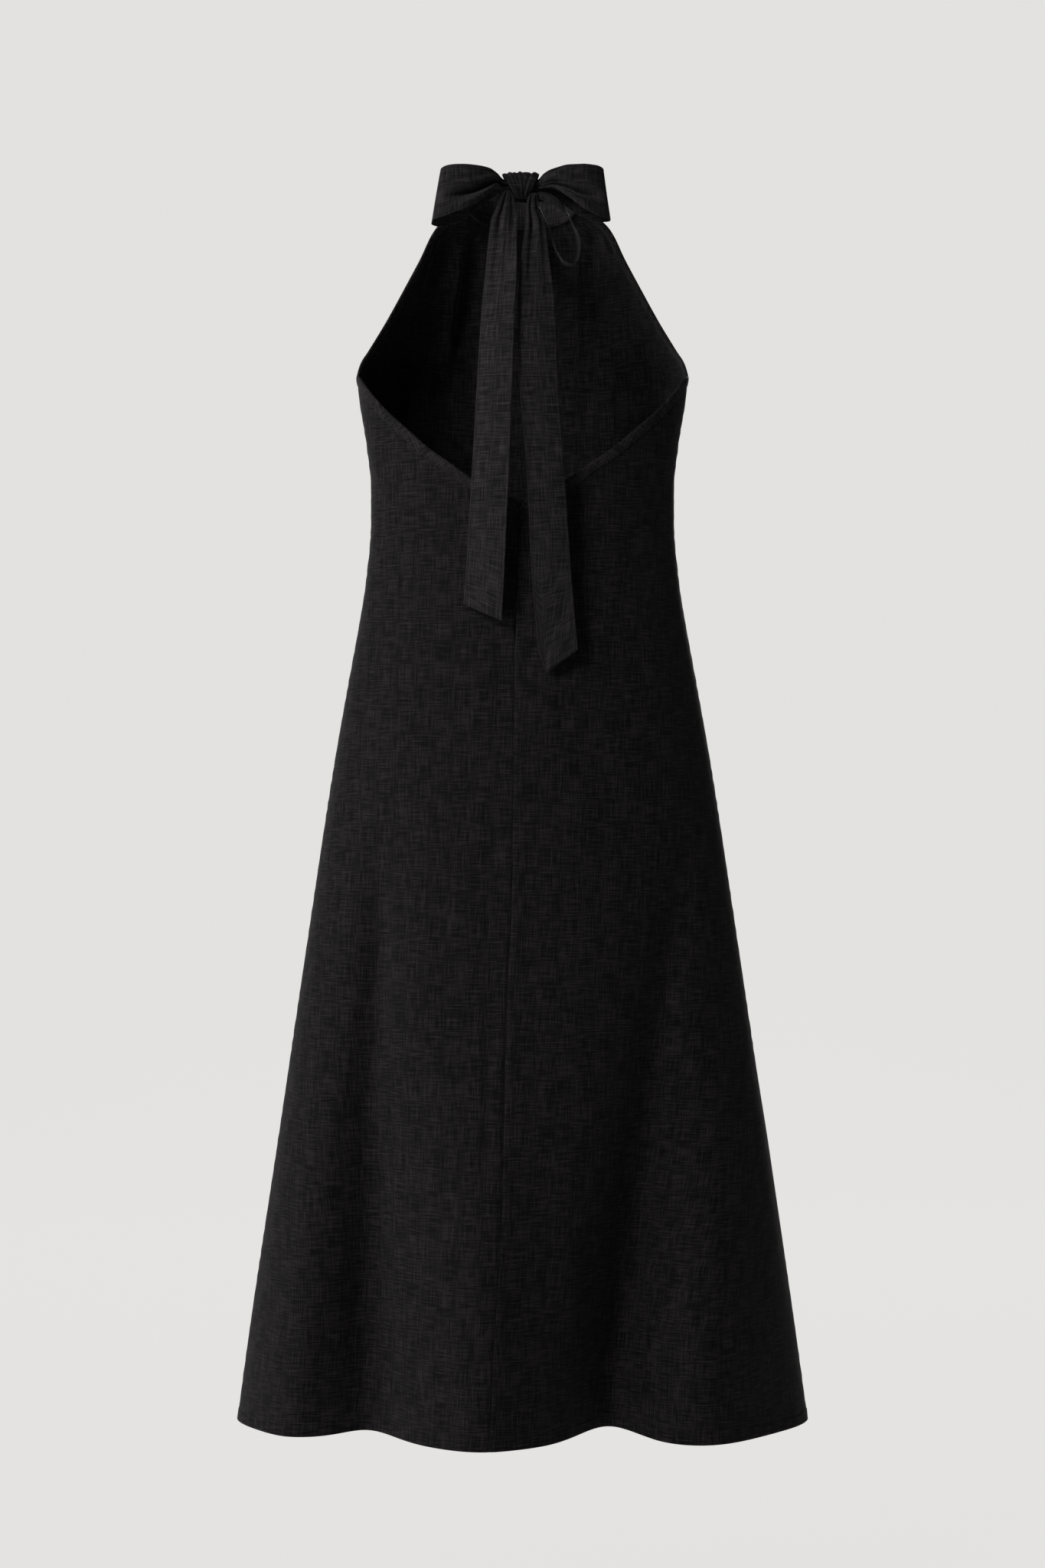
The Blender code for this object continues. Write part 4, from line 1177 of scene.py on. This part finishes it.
def smooth_between(lines: np.ndarray, factor: int) -> np.ndarray:
    """Add lines between those of a grid, on smooth curves through them."""
    padded = np.concatenate((2.0 * lines[:1] - lines[1:2], lines, 2.0 * lines[-1:] - lines[-2:-1]))
    result = []
    for index in range(1, len(padded) - 2):
        first, second, third, fourth = padded[index - 1:index + 3]
        for step in range(factor):
            part = step / factor
            result.append(0.5 * (
                2.0 * second + (third - first) * part
                + (2.0 * first - 5.0 * second + 4.0 * third - fourth) * part ** 2
                + (3.0 * second - first - 3.0 * third + fourth) * part ** 3
            ))
    result.append(lines[-1])
    return np.array(result)


@dataclass
class EdgeBinding:
    """The bias strip round one open edge, from the neck band under the arm to the centre back."""

    side: int
    reach_points: int = 13
    row_step: int = 5
    column_step: int = 6
    start_gap: float = 2.6
    end_gap: float = 0.5
    lines_between: int = 7
    probe: float = 8.0
    corner_share: float = 0.15
    pucker_reach: float = 0.28
    pucker_pitch: float = 6.3
    pucker_place: float = 5.6
    pucker_width: float = 2.4

    def lines(self, front: np.ndarray, back: np.ndarray, yoke_rows: int) -> np.ndarray:
        """Lines of panel points that run in from the open edge.

        Args:
            front: the front's points.
            back: this side's back's points.
            yoke_rows: how many of the front's rows lie above the underarm.

        Returns:
            Lines of points, from the neck to the centre back.
        """
        reach = self.reach_points
        rows = front if self.side < 0 else front[:, ::-1]
        lines = [rows[index, :reach] for index in range(0, yoke_rows - 1, self.row_step)]
        steps = np.arange(reach)
        shifts = (0, -self.row_step, self.row_step)
        under, above, below = (rows[yoke_rows + shift, :reach] for shift in shifts)
        lines.append(under + (above - under) * self.corner_share)
        lines.append(under + (below - under) * (steps / reach * 0.5)[:, None])
        columns = back.transpose(1, 0, 2)[:, :reach]
        corner = columns[self.column_step // 2]
        lines.append(corner)
        kept = range(self.column_step, len(columns) - 6, self.column_step)
        lines.extend(columns[index] for index in kept)
        lines.append(columns[-1])
        return np.array(lines)

    def points(self, front: np.ndarray, back: np.ndarray, yoke_rows: int) -> tuple[np.ndarray, np.ndarray]:
        """The binding's middle surface, and its outward directions."""
        lines = smooth_between(self.lines(front, back, yoke_rows), self.lines_between)
        edge = lines[:, 0]
        along = unit(np.gradient(edge, axis=0))
        runs = arc_lengths(lines, 1)

        def inward_point(distance: np.ndarray) -> np.ndarray:
            """The point a distance in along each line."""
            return np.array([
                [np.interp(distance[index], runs[index], lines[index, :, axis]) for axis in range(3)]
                for index in range(len(lines))
            ])

        inward = unit(inward_point(np.full(len(lines), self.probe)) - edge)
        across = np.cross(along, inward)
        slant = np.maximum(np.linalg.norm(across, axis=-1), 0.5)
        outward = unit(across)
        facing = np.sign(np.sum(outward * edge * LEVEL, axis=-1, keepdims=True))
        outward = outward * facing
        run = arc_lengths(edge[None], 1)[0]
        rows = []
        for reach, offset in BINDING_PROFILE:
            middle = inward_point(np.maximum(reach, 0.0) / slant)
            middle = middle + inward * (min(reach, 0.0) / slant)[:, None]
            pucker = self.pucker_reach * uneven_wave(run, self.pucker_pitch, 0.9 + self.side)
            pucker = pucker * bell(reach - self.pucker_place, self.pucker_width)
            lift = np.where(offset > 0.0, pucker, -pucker) + offset
            rows.append(middle + outward * lift[:, None])
        points = np.stack(rows, axis=1)
        points[0] += along[0] * self.start_gap
        points[-1, :, 0] += self.side * self.end_gap
        return points, outward


@dataclass
class NeckBand:
    """The band that the front is gathered onto."""

    stations: int = 260
    columns: int = 14
    pucker_reach: float = 0.4
    pucker_pitch: float = 7.5
    seam_height: float = 3.0
    seam_depth: float = 0.5
    roll: float = 0.35
    soft_reach: float = 0.5
    soft_pitch: float = 37.0

    def points(self) -> np.ndarray:
        """The band's middle surface, from the left end round the front to the right end."""
        turn = np.linspace(-180.0, 180.0, self.stations + 1)[:, None]
        share = np.linspace(1.0, 0.0, self.columns + 1)[None, :]
        height = Body.band_height_at(np.abs(turn))
        base = Body.neck_point(turn * np.ones_like(share), height * share)
        run = np.radians(turn) * NECK_HALF_WIDTH
        middle = np.sin(math.pi * share)
        pucker = self.pucker_reach * uneven_wave(run, self.pucker_pitch, 1.1) * bell(share * height, 5.0)
        roll = self.roll * middle - self.seam_depth * bell(height * share - self.seam_height, 1.0)
        soft = self.soft_reach * uneven_wave(run + 9.0 * share, self.soft_pitch, 2.7) * middle
        return base + outward_normals(base) * (pucker + roll + soft)[..., None]


@dataclass
class BowLoop:
    """One looped ribbon of the bow."""

    name: str
    table: tuple[RibbonPoint, ...]
    folds: tuple[LoopFold, ...] = ()
    pleated: bool = True
    stations: int = 150
    columns: int = 48
    ripple_reach: float = 0.5
    ripple_pitch: float = 31.0
    viewed_part: float = 0.40

    def points(self) -> np.ndarray:
        """The ribbon's middle surface, from its upper edge to its lower one."""
        ends = np.array([(point.lower_x, point.lower_depth, point.lower_z) for point in self.table])
        lengths = arc_lengths(ends[None], 1)[0]
        place = np.linspace(0.0, lengths[-1], self.stations + 1)[:, None]
        share = np.linspace(0.0, 1.0, self.columns + 1)[None, :]
        values = {
            name: Curve(lengths, [getattr(point, name) for point in self.table])(place)
            for name in RibbonPoint._fields
        }
        upper = np.stack((values["upper_x"], -values["upper_depth"], values["upper_z"]), axis=-1)
        lower = np.stack((values["lower_x"], -values["lower_depth"], values["lower_z"]), axis=-1)
        points = upper + (lower - upper) * share[..., None]
        if self.pleated:
            pleats = even_curve(LOOP_PLEATS)(share)
            points[..., 1] -= pleats * values["pleat"]
            points[..., 1] -= self.fold_relief(np.abs(points[..., 0]), share, place / lengths[-1])
        edge = np.sin(math.pi * share)
        ripple = uneven_wave(place, self.ripple_pitch, 1.9) * self.ripple_reach * (1.0 - 0.7 * edge)
        return points + grid_normals(points) * (ripple * smooth_step(place / 30.0))[..., None]

    def fold_relief(self, out_x: np.ndarray, share: np.ndarray, part: np.ndarray) -> np.ndarray:
        """Relief of the folds that run out from the knot on the loop's viewed side."""
        viewed = 1.0 - smooth_step((part - self.viewed_part) / 0.10)
        relief = np.zeros_like(out_x)
        for fold in self.folds:
            along = (out_x - fold.near_x) / (fold.far_x - fold.near_x)
            centre = fold.near_share + (fold.far_share - fold.near_share) * np.clip(along, 0.0, 1.0)
            ends = smooth_step((along + 0.25) / 0.3) * smooth_step((1.0 - along) / 0.45)
            relief += fold.reach * ends * bell(share - centre, fold.width)
        return relief * viewed


@dataclass
class TieTail:
    """One hanging end of the tie."""

    name: str
    table: tuple[TailPoint, ...]
    tip: TailTip
    waves: tuple[TailWave, ...]
    lean: float
    stations: int = 220
    columns: int = 36
    pleat_depth: float = 1.6
    bow_out: float = 1.5
    lean_start: float = 0.22
    tip_start: float = 0.75
    edge_ripple: float = 0.35
    edge_pitch: float = 19.0
    edge_width: float = 0.10
    seam_depth: float = 0.30
    seam_place: float = 0.07
    seam_width: float = 0.025

    def points(self) -> np.ndarray:
        """The tail's middle surface, from its left edge to its right one."""
        top, bottom = self.table[0].height, self.table[-1].height
        part = (np.linspace(0.0, 1.0, self.stations + 1) ** 1.25)[:, None]
        share = np.linspace(0.0, 1.0, self.columns + 1)[None, :]
        from_left = share / max(self.tip.share, 0.001)
        from_right = (1.0 - share) / max(1.0 - self.tip.share, 0.001)
        near_tip = np.minimum(from_left, from_right)
        drop = self.tip.drop * near_tip * smooth_step((part - self.tip_start) / (1.0 - self.tip_start))
        height = top + (bottom - top) * part
        columns = ("left_x", "right_x", "depth", "pleat")
        left, right, depth, pleat = (
            table_curve(self.table, "height", name)(height) for name in columns
        )
        pleats = even_curve(TAIL_PLEATS)(share)
        bow_out = self.bow_out * np.sin(math.pi * share) * smooth_step(part / 0.3)
        turned = self.lean * (right - left) * (share - 0.5) * smooth_step(part / self.lean_start)
        relief = pleats * pleat * self.pleat_depth + bow_out + turned + self.relief(share, height)
        x = left + (right - left) * share
        return np.stack((x, -depth - relief, height - drop), axis=-1)

    def relief(self, share: np.ndarray, height: np.ndarray) -> np.ndarray:
        """Soft dents, bumps and the rippled edges of the turned tube."""
        relief = np.zeros(np.broadcast(share, height).shape)
        for wave in self.waves:
            across = (share - wave.share) / wave.half_share
            along = (height - wave.height) / wave.half_height
            relief += wave.reach * np.exp(-(across ** 2) - along ** 2)
        for edge, seed in ((share, 0.6), (1.0 - share, 2.9)):
            ripple = self.edge_ripple * uneven_wave(height, self.edge_pitch, seed)
            relief += ripple * bell(edge, self.edge_width)
            relief -= self.seam_depth * bell(edge - self.seam_place, self.seam_width)
        return relief


@dataclass
class BowKnot:
    """The band wrapped round the roots of the loops, with its gathers."""

    stations: int = 96
    columns: int = 64
    middle_swell: float = 2.4
    end_draw: float = 2.1

    def points(self) -> np.ndarray:
        """The knot's middle surface; its last row is its first again."""
        turn = np.linspace(0.0, 2.0 * math.pi, self.stations + 1)[:, None]
        share = np.linspace(0.0, 1.0, self.columns + 1)[None, :]
        lift = (np.sin(turn) + 1.0) / 2.0
        swell = self.middle_swell * np.sin(math.pi * np.clip(share, 0.0, 1.0)) ** 0.5 - self.end_draw
        for gather in KNOT_GATHERS:
            centre = gather.low_share + (gather.high_share - gather.low_share) * lift
            swell = swell + gather.reach * bell(share - centre, gather.half_share)
        left = KNOT_LEFT + KNOT_LEFT_SLANT * np.sin(turn)
        right = KNOT_RIGHT + KNOT_RIGHT_SLANT * np.sin(turn)
        points = np.stack(np.broadcast_arrays(
            left + (right - left) * share,
            -KNOT_DEPTH - (KNOT_HALF_DEPTH + swell) * np.cos(turn),
            KNOT_HEIGHT + (KNOT_HALF_HEIGHT + swell) * np.sin(turn),
        ), axis=-1).copy()
        points[-1] = points[0]
        return points


@dataclass
class Dress:
    """The whole dress, sewn together from its pieces."""

    body_linen: LinenFinish = LinenFinish("body_linen")
    # The tie's linen is the body's linen made lighter: painted light, for the stronger side light that the
    # bow and the tie ends catch.
    tie_linen_painted_light: LinenFinish = LinenFinish(
        "tie_linen_painted_light", dark=(0.0076, 0.0068, 0.0071), light=(0.078, 0.071, 0.074), contrast=0.62,
        slub_strength=0.6, crumple=0.7,
    )
    # The binding's linen is the body's linen cut on the bias, made lighter: the bias grain is real, the
    # lighter tone is painted highlight along the rolled edges.
    binding_linen_painted_light: LinenFinish = LinenFinish(
        "binding_linen_painted_light", dark=(0.0080, 0.0071, 0.0075), light=(0.066, 0.059, 0.062),
        grain=Grain.BIAS, crumple=0.4,
    )
    thread: PlainFinish = PlainFinish("black_thread", (0.036, 0.034, 0.035), 0.5)

    def sew(self) -> None:
        """Build every piece."""
        body, tie, binding = (
            finish.material() for finish in (self.body_linen, self.tie_linen_painted_light, self.binding_linen_painted_light)
        )
        thread = self.thread.material()
        front_panel = FrontPanel()
        front = front_panel.points()
        shell = Shell("front_shell", front, front_panel.wall, front_panel.columns // 2, upright=True)
        piece = shell.build(body, "linen", "front")
        runs = []
        hems = [self.hem_line(front)]
        for name, side, area in (("left", -1, 0.292), ("right", 1, 0.330)):
            panel = BackPanel(side)
            back = panel.points()
            shell = Shell(f"back_{name}_shell", back, panel.wall, back.shape[1] - 1, upright=True)
            shell.grain_shift = RIGHT_BACK_SHIFT if side > 0 else 0.0
            piece = shell.build(body, "linen", f"back_{name}")
            runs.append(self.bind(name, side, front, back, front_panel.yoke_rows, binding))
            hems.append(self.hem_line(back))
        StitchRun("edge_stitching").build(runs, thread)
        StitchRun("hem_stitching", pitch=3.6, radius=0.2).build(hems, thread)
        self.tie_bow(tie)

    def hem_line(self, points: np.ndarray) -> tuple[np.ndarray, np.ndarray]:
        """The line of a panel's hem stitches, and its outward normals."""
        outward = outward_normals(points)[HEM_STITCH_ROW]
        return points[HEM_STITCH_ROW] + outward * (PANEL_WALL / 2.0), outward

    def bind(
        self,
        name: str,
        side: int,
        front: np.ndarray,
        back: np.ndarray,
        yoke_rows: int,
        material: bpy.types.Material,
    ) -> tuple[np.ndarray, np.ndarray]:
        """Bind one open edge.

        Args:
            name: the side's name.
            side: -1 for the left and 1 for the right.
            front: the front's points.
            back: this side's back's points.
            yoke_rows: how many of the front's rows lie above the underarm.
            material: the bias linen, lightened with painted highlight.

        Returns:
            The line of the outer stitches and its outward normals.
        """
        points, outward = EdgeBinding(side).points(front, back, yoke_rows)
        shell = Shell(f"edge_binding_{name}_shell", points, BINDING_WALL)
        piece = shell.build(material, "linen_binding", f"edge_binding_{name}")
        line = points[:, STITCH_COLUMN] + outward * (BINDING_WALL / 2.0)
        return line, outward

    def tie_bow(self, material: bpy.types.Material) -> None:
        """Build the neck band, the bow and the tie's ends."""
        shell = Shell("neck_band_shell", NeckBand().points(), BAND_WALL)
        band = shell.build(material, "linen_tie", "neck_band")
        loops = (
            (BowLoop("bow_loop_left", LEFT_LOOP, LEFT_LOOP_FOLDS), (0.19, 0.050), 0.0084),
            (BowLoop("bow_loop_right", RIGHT_LOOP, RIGHT_LOOP_FOLDS), (0.19, 0.050), 0.0075),
            (BowLoop("bow_loop_small", SMALL_LOOP, pleated=False), (0.19, 0.032), 0.0046),
        )
        for loop, flat, area in loops:
            shell = Shell(f"{loop.name}_shell", loop.points(), TIE_WALL)
            piece = shell.build(material, "linen_tie", loop.name)
        tails = (
            (
                TieTail("tie_tail_left", LEFT_TAIL, LEFT_TAIL_TIP, LEFT_TAIL_WAVES, 0.55),
                (0.043, 0.46), 0.0185,
            ),
            (
                TieTail("tie_tail_right", RIGHT_TAIL, RIGHT_TAIL_TIP, RIGHT_TAIL_WAVES, 0.02),
                (0.042, 0.50), 0.0193,
            ),
        )
        for tail, flat, area in tails:
            shell = Shell(f"{tail.name}_shell", tail.points(), TIE_WALL)
            piece = shell.build(material, "linen_tie", tail.name)
        knot = Shell("bow_knot_shell", BowKnot().points(), TIE_WALL, closed=True)
        piece = knot.build(material, "linen_tie", "bow_knot")


class SoftLight(NamedTuple):
    """A square light: where it stands and faces, its side in metres and its power in watts."""

    name: str
    place: tuple[float, float, float]
    target: tuple[float, float, float]
    size: float
    power: float


SOFT_LIGHTS = (
    SoftLight("side_light", (-3.2, -0.6, 0.1), (0.0, 0.0, -0.65), 1.8, 24.0),
    SoftLight("front_light", (-2.3, -3.0, 1.5), (0.0, 0.0, -0.6), 1.3, 42.0),
    SoftLight("far_right_light", (0.9, 3.6, 1.3), (0.0, 0.0, -0.6), 1.2, 70.0),
    SoftLight("far_left_light", (-1.8, 3.3, 0.4), (0.0, 0.0, -0.7), 1.6, 16.0),
)


@dataclass
class Studio:
    """The plain pale floor, the soft lights and the camera."""

    camera_distance: float = 3.5
    camera_height: float = -0.6252
    picture_height_m: float = PICTURE_ROWS * METRES_PER_PIXEL
    sensor_mm: float = 36.0
    floor_height: float = -1.50
    floor_half_width: float = 9.0
    floor_near: float = -8.0
    bend_start: float = 3.6
    bend_radius: float = 1.6
    bend_rows: int = 14
    wall_height: float = 6.5
    paper: tuple[float, float, float] = (0.62, 0.61, 0.60)
    paper_glow: float = 0.95
    backdrop: tuple[float, float, float] = (0.800, 0.793, 0.778)
    even_light: float = 0.030

    def build(self) -> None:
        """Set up the studio round the dress."""
        self.floor()
        for light in SOFT_LIGHTS:
            self.light(light)
        self.surroundings()
        self.camera()

    def floor(self) -> None:
        """A pale floor that sweeps up behind the dress."""
        start, bend = self.bend_start, self.bend_radius
        profile = [(self.floor_near, 0.0), (start, 0.0)]
        profile += [
            (start + bend * math.sin(turn), bend - bend * math.cos(turn))
            for turn in np.linspace(0.1, math.pi / 2.0, self.bend_rows)
        ]
        profile.append((start + bend, self.wall_height))
        shape = bmesh.new()
        grid = bmesh.ops.create_grid(shape, x_segments=1, y_segments=len(profile) - 1)
        for index, vert in enumerate(grid["verts"]):
            depth, rise = profile[index // 2]
            side = self.floor_half_width * (-1.0 if index % 2 == 0 else 1.0)
            vert.co = Vector((side, depth, self.floor_height + rise))
        mesh = bpy.data.meshes.new("studio_floor")
        shape.to_mesh(mesh)
        shape.free()
        mesh.shade_smooth()
        mesh.materials.append(self.pale_paper())
        floor = put_in_scene("studio_floor", mesh)

    def light(self, light: SoftLight) -> None:
        """Add a square soft light."""
        data = bpy.data.lights.new(light.name, "AREA")
        data.size = light.size
        data.energy = light.power
        lamp = put_in_scene(light.name, data)
        lamp.location = light.place
        facing = Vector(light.target) - Vector(light.place)
        lamp.rotation_euler = facing.to_track_quat("-Z", "Y").to_euler()

    def pale_paper(self) -> bpy.types.Material:
        """Pale paper that glows a little to the eye, so that it looks even, as in the photograph."""
        recipe = Recipe("pale_paper")
        seen = recipe.node("ShaderNodeLightPath", {}, {}, "Is Camera Ray")
        paper = recipe.node("ShaderNodeBsdfDiffuse", {}, {"Color": (*self.paper, 1.0)})
        glow = recipe.node("ShaderNodeEmission", {}, {"Color": (*self.backdrop, 1.0)})
        share = seen * self.paper_glow
        recipe.finish(recipe.node("ShaderNodeMixShader", {}, {0: share, 1: paper, 2: glow}))
        return recipe.material

    def surroundings(self) -> None:
        """Set the even light all round, and the pale backdrop that the eye sees beyond the floor."""
        world = bpy.data.worlds.new("studio_world")
        world.use_nodes = True
        nodes, links = world.node_tree.nodes, world.node_tree.links
        even = nodes["Background"]
        even.inputs["Color"].default_value = (1.0, 0.99, 0.98, 1.0)
        even.inputs["Strength"].default_value = self.even_light
        pale = nodes.new("ShaderNodeBackground")
        pale.inputs["Color"].default_value = (*self.backdrop, 1.0)
        mix = nodes.new("ShaderNodeMixShader")
        links.new(nodes.new("ShaderNodeLightPath").outputs["Is Camera Ray"], mix.inputs[0])
        links.new(even.outputs["Background"], mix.inputs[1])
        links.new(pale.outputs["Background"], mix.inputs[2])
        links.new(mix.outputs[0], nodes["World Output"].inputs["Surface"])
        bpy.context.scene.world = world

    def camera(self) -> None:
        """Stand the camera level behind the dress, as in the photograph."""
        data = bpy.data.cameras.new("camera")
        data.sensor_fit = "VERTICAL"
        data.sensor_height = self.sensor_mm
        data.lens = self.sensor_mm * self.camera_distance / self.picture_height_m
        camera = put_in_scene("camera", data)
        camera.location = (0.0, -self.camera_distance, self.camera_height)
        camera.rotation_euler = (math.pi / 2.0, 0.0, 0.0)
        bpy.context.scene.camera = camera
        bpy.context.scene.view_settings.view_transform = "Standard"


def write_sizes() -> None:
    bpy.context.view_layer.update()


def main() -> None:
    """Load the frame, dress it and set up the studio."""
    logging.basicConfig(level=logging.INFO, format="%(message)s")
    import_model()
    Studio().build()
    Dress().sew()
    write_sizes()


if __name__ == "__main__":
    main()
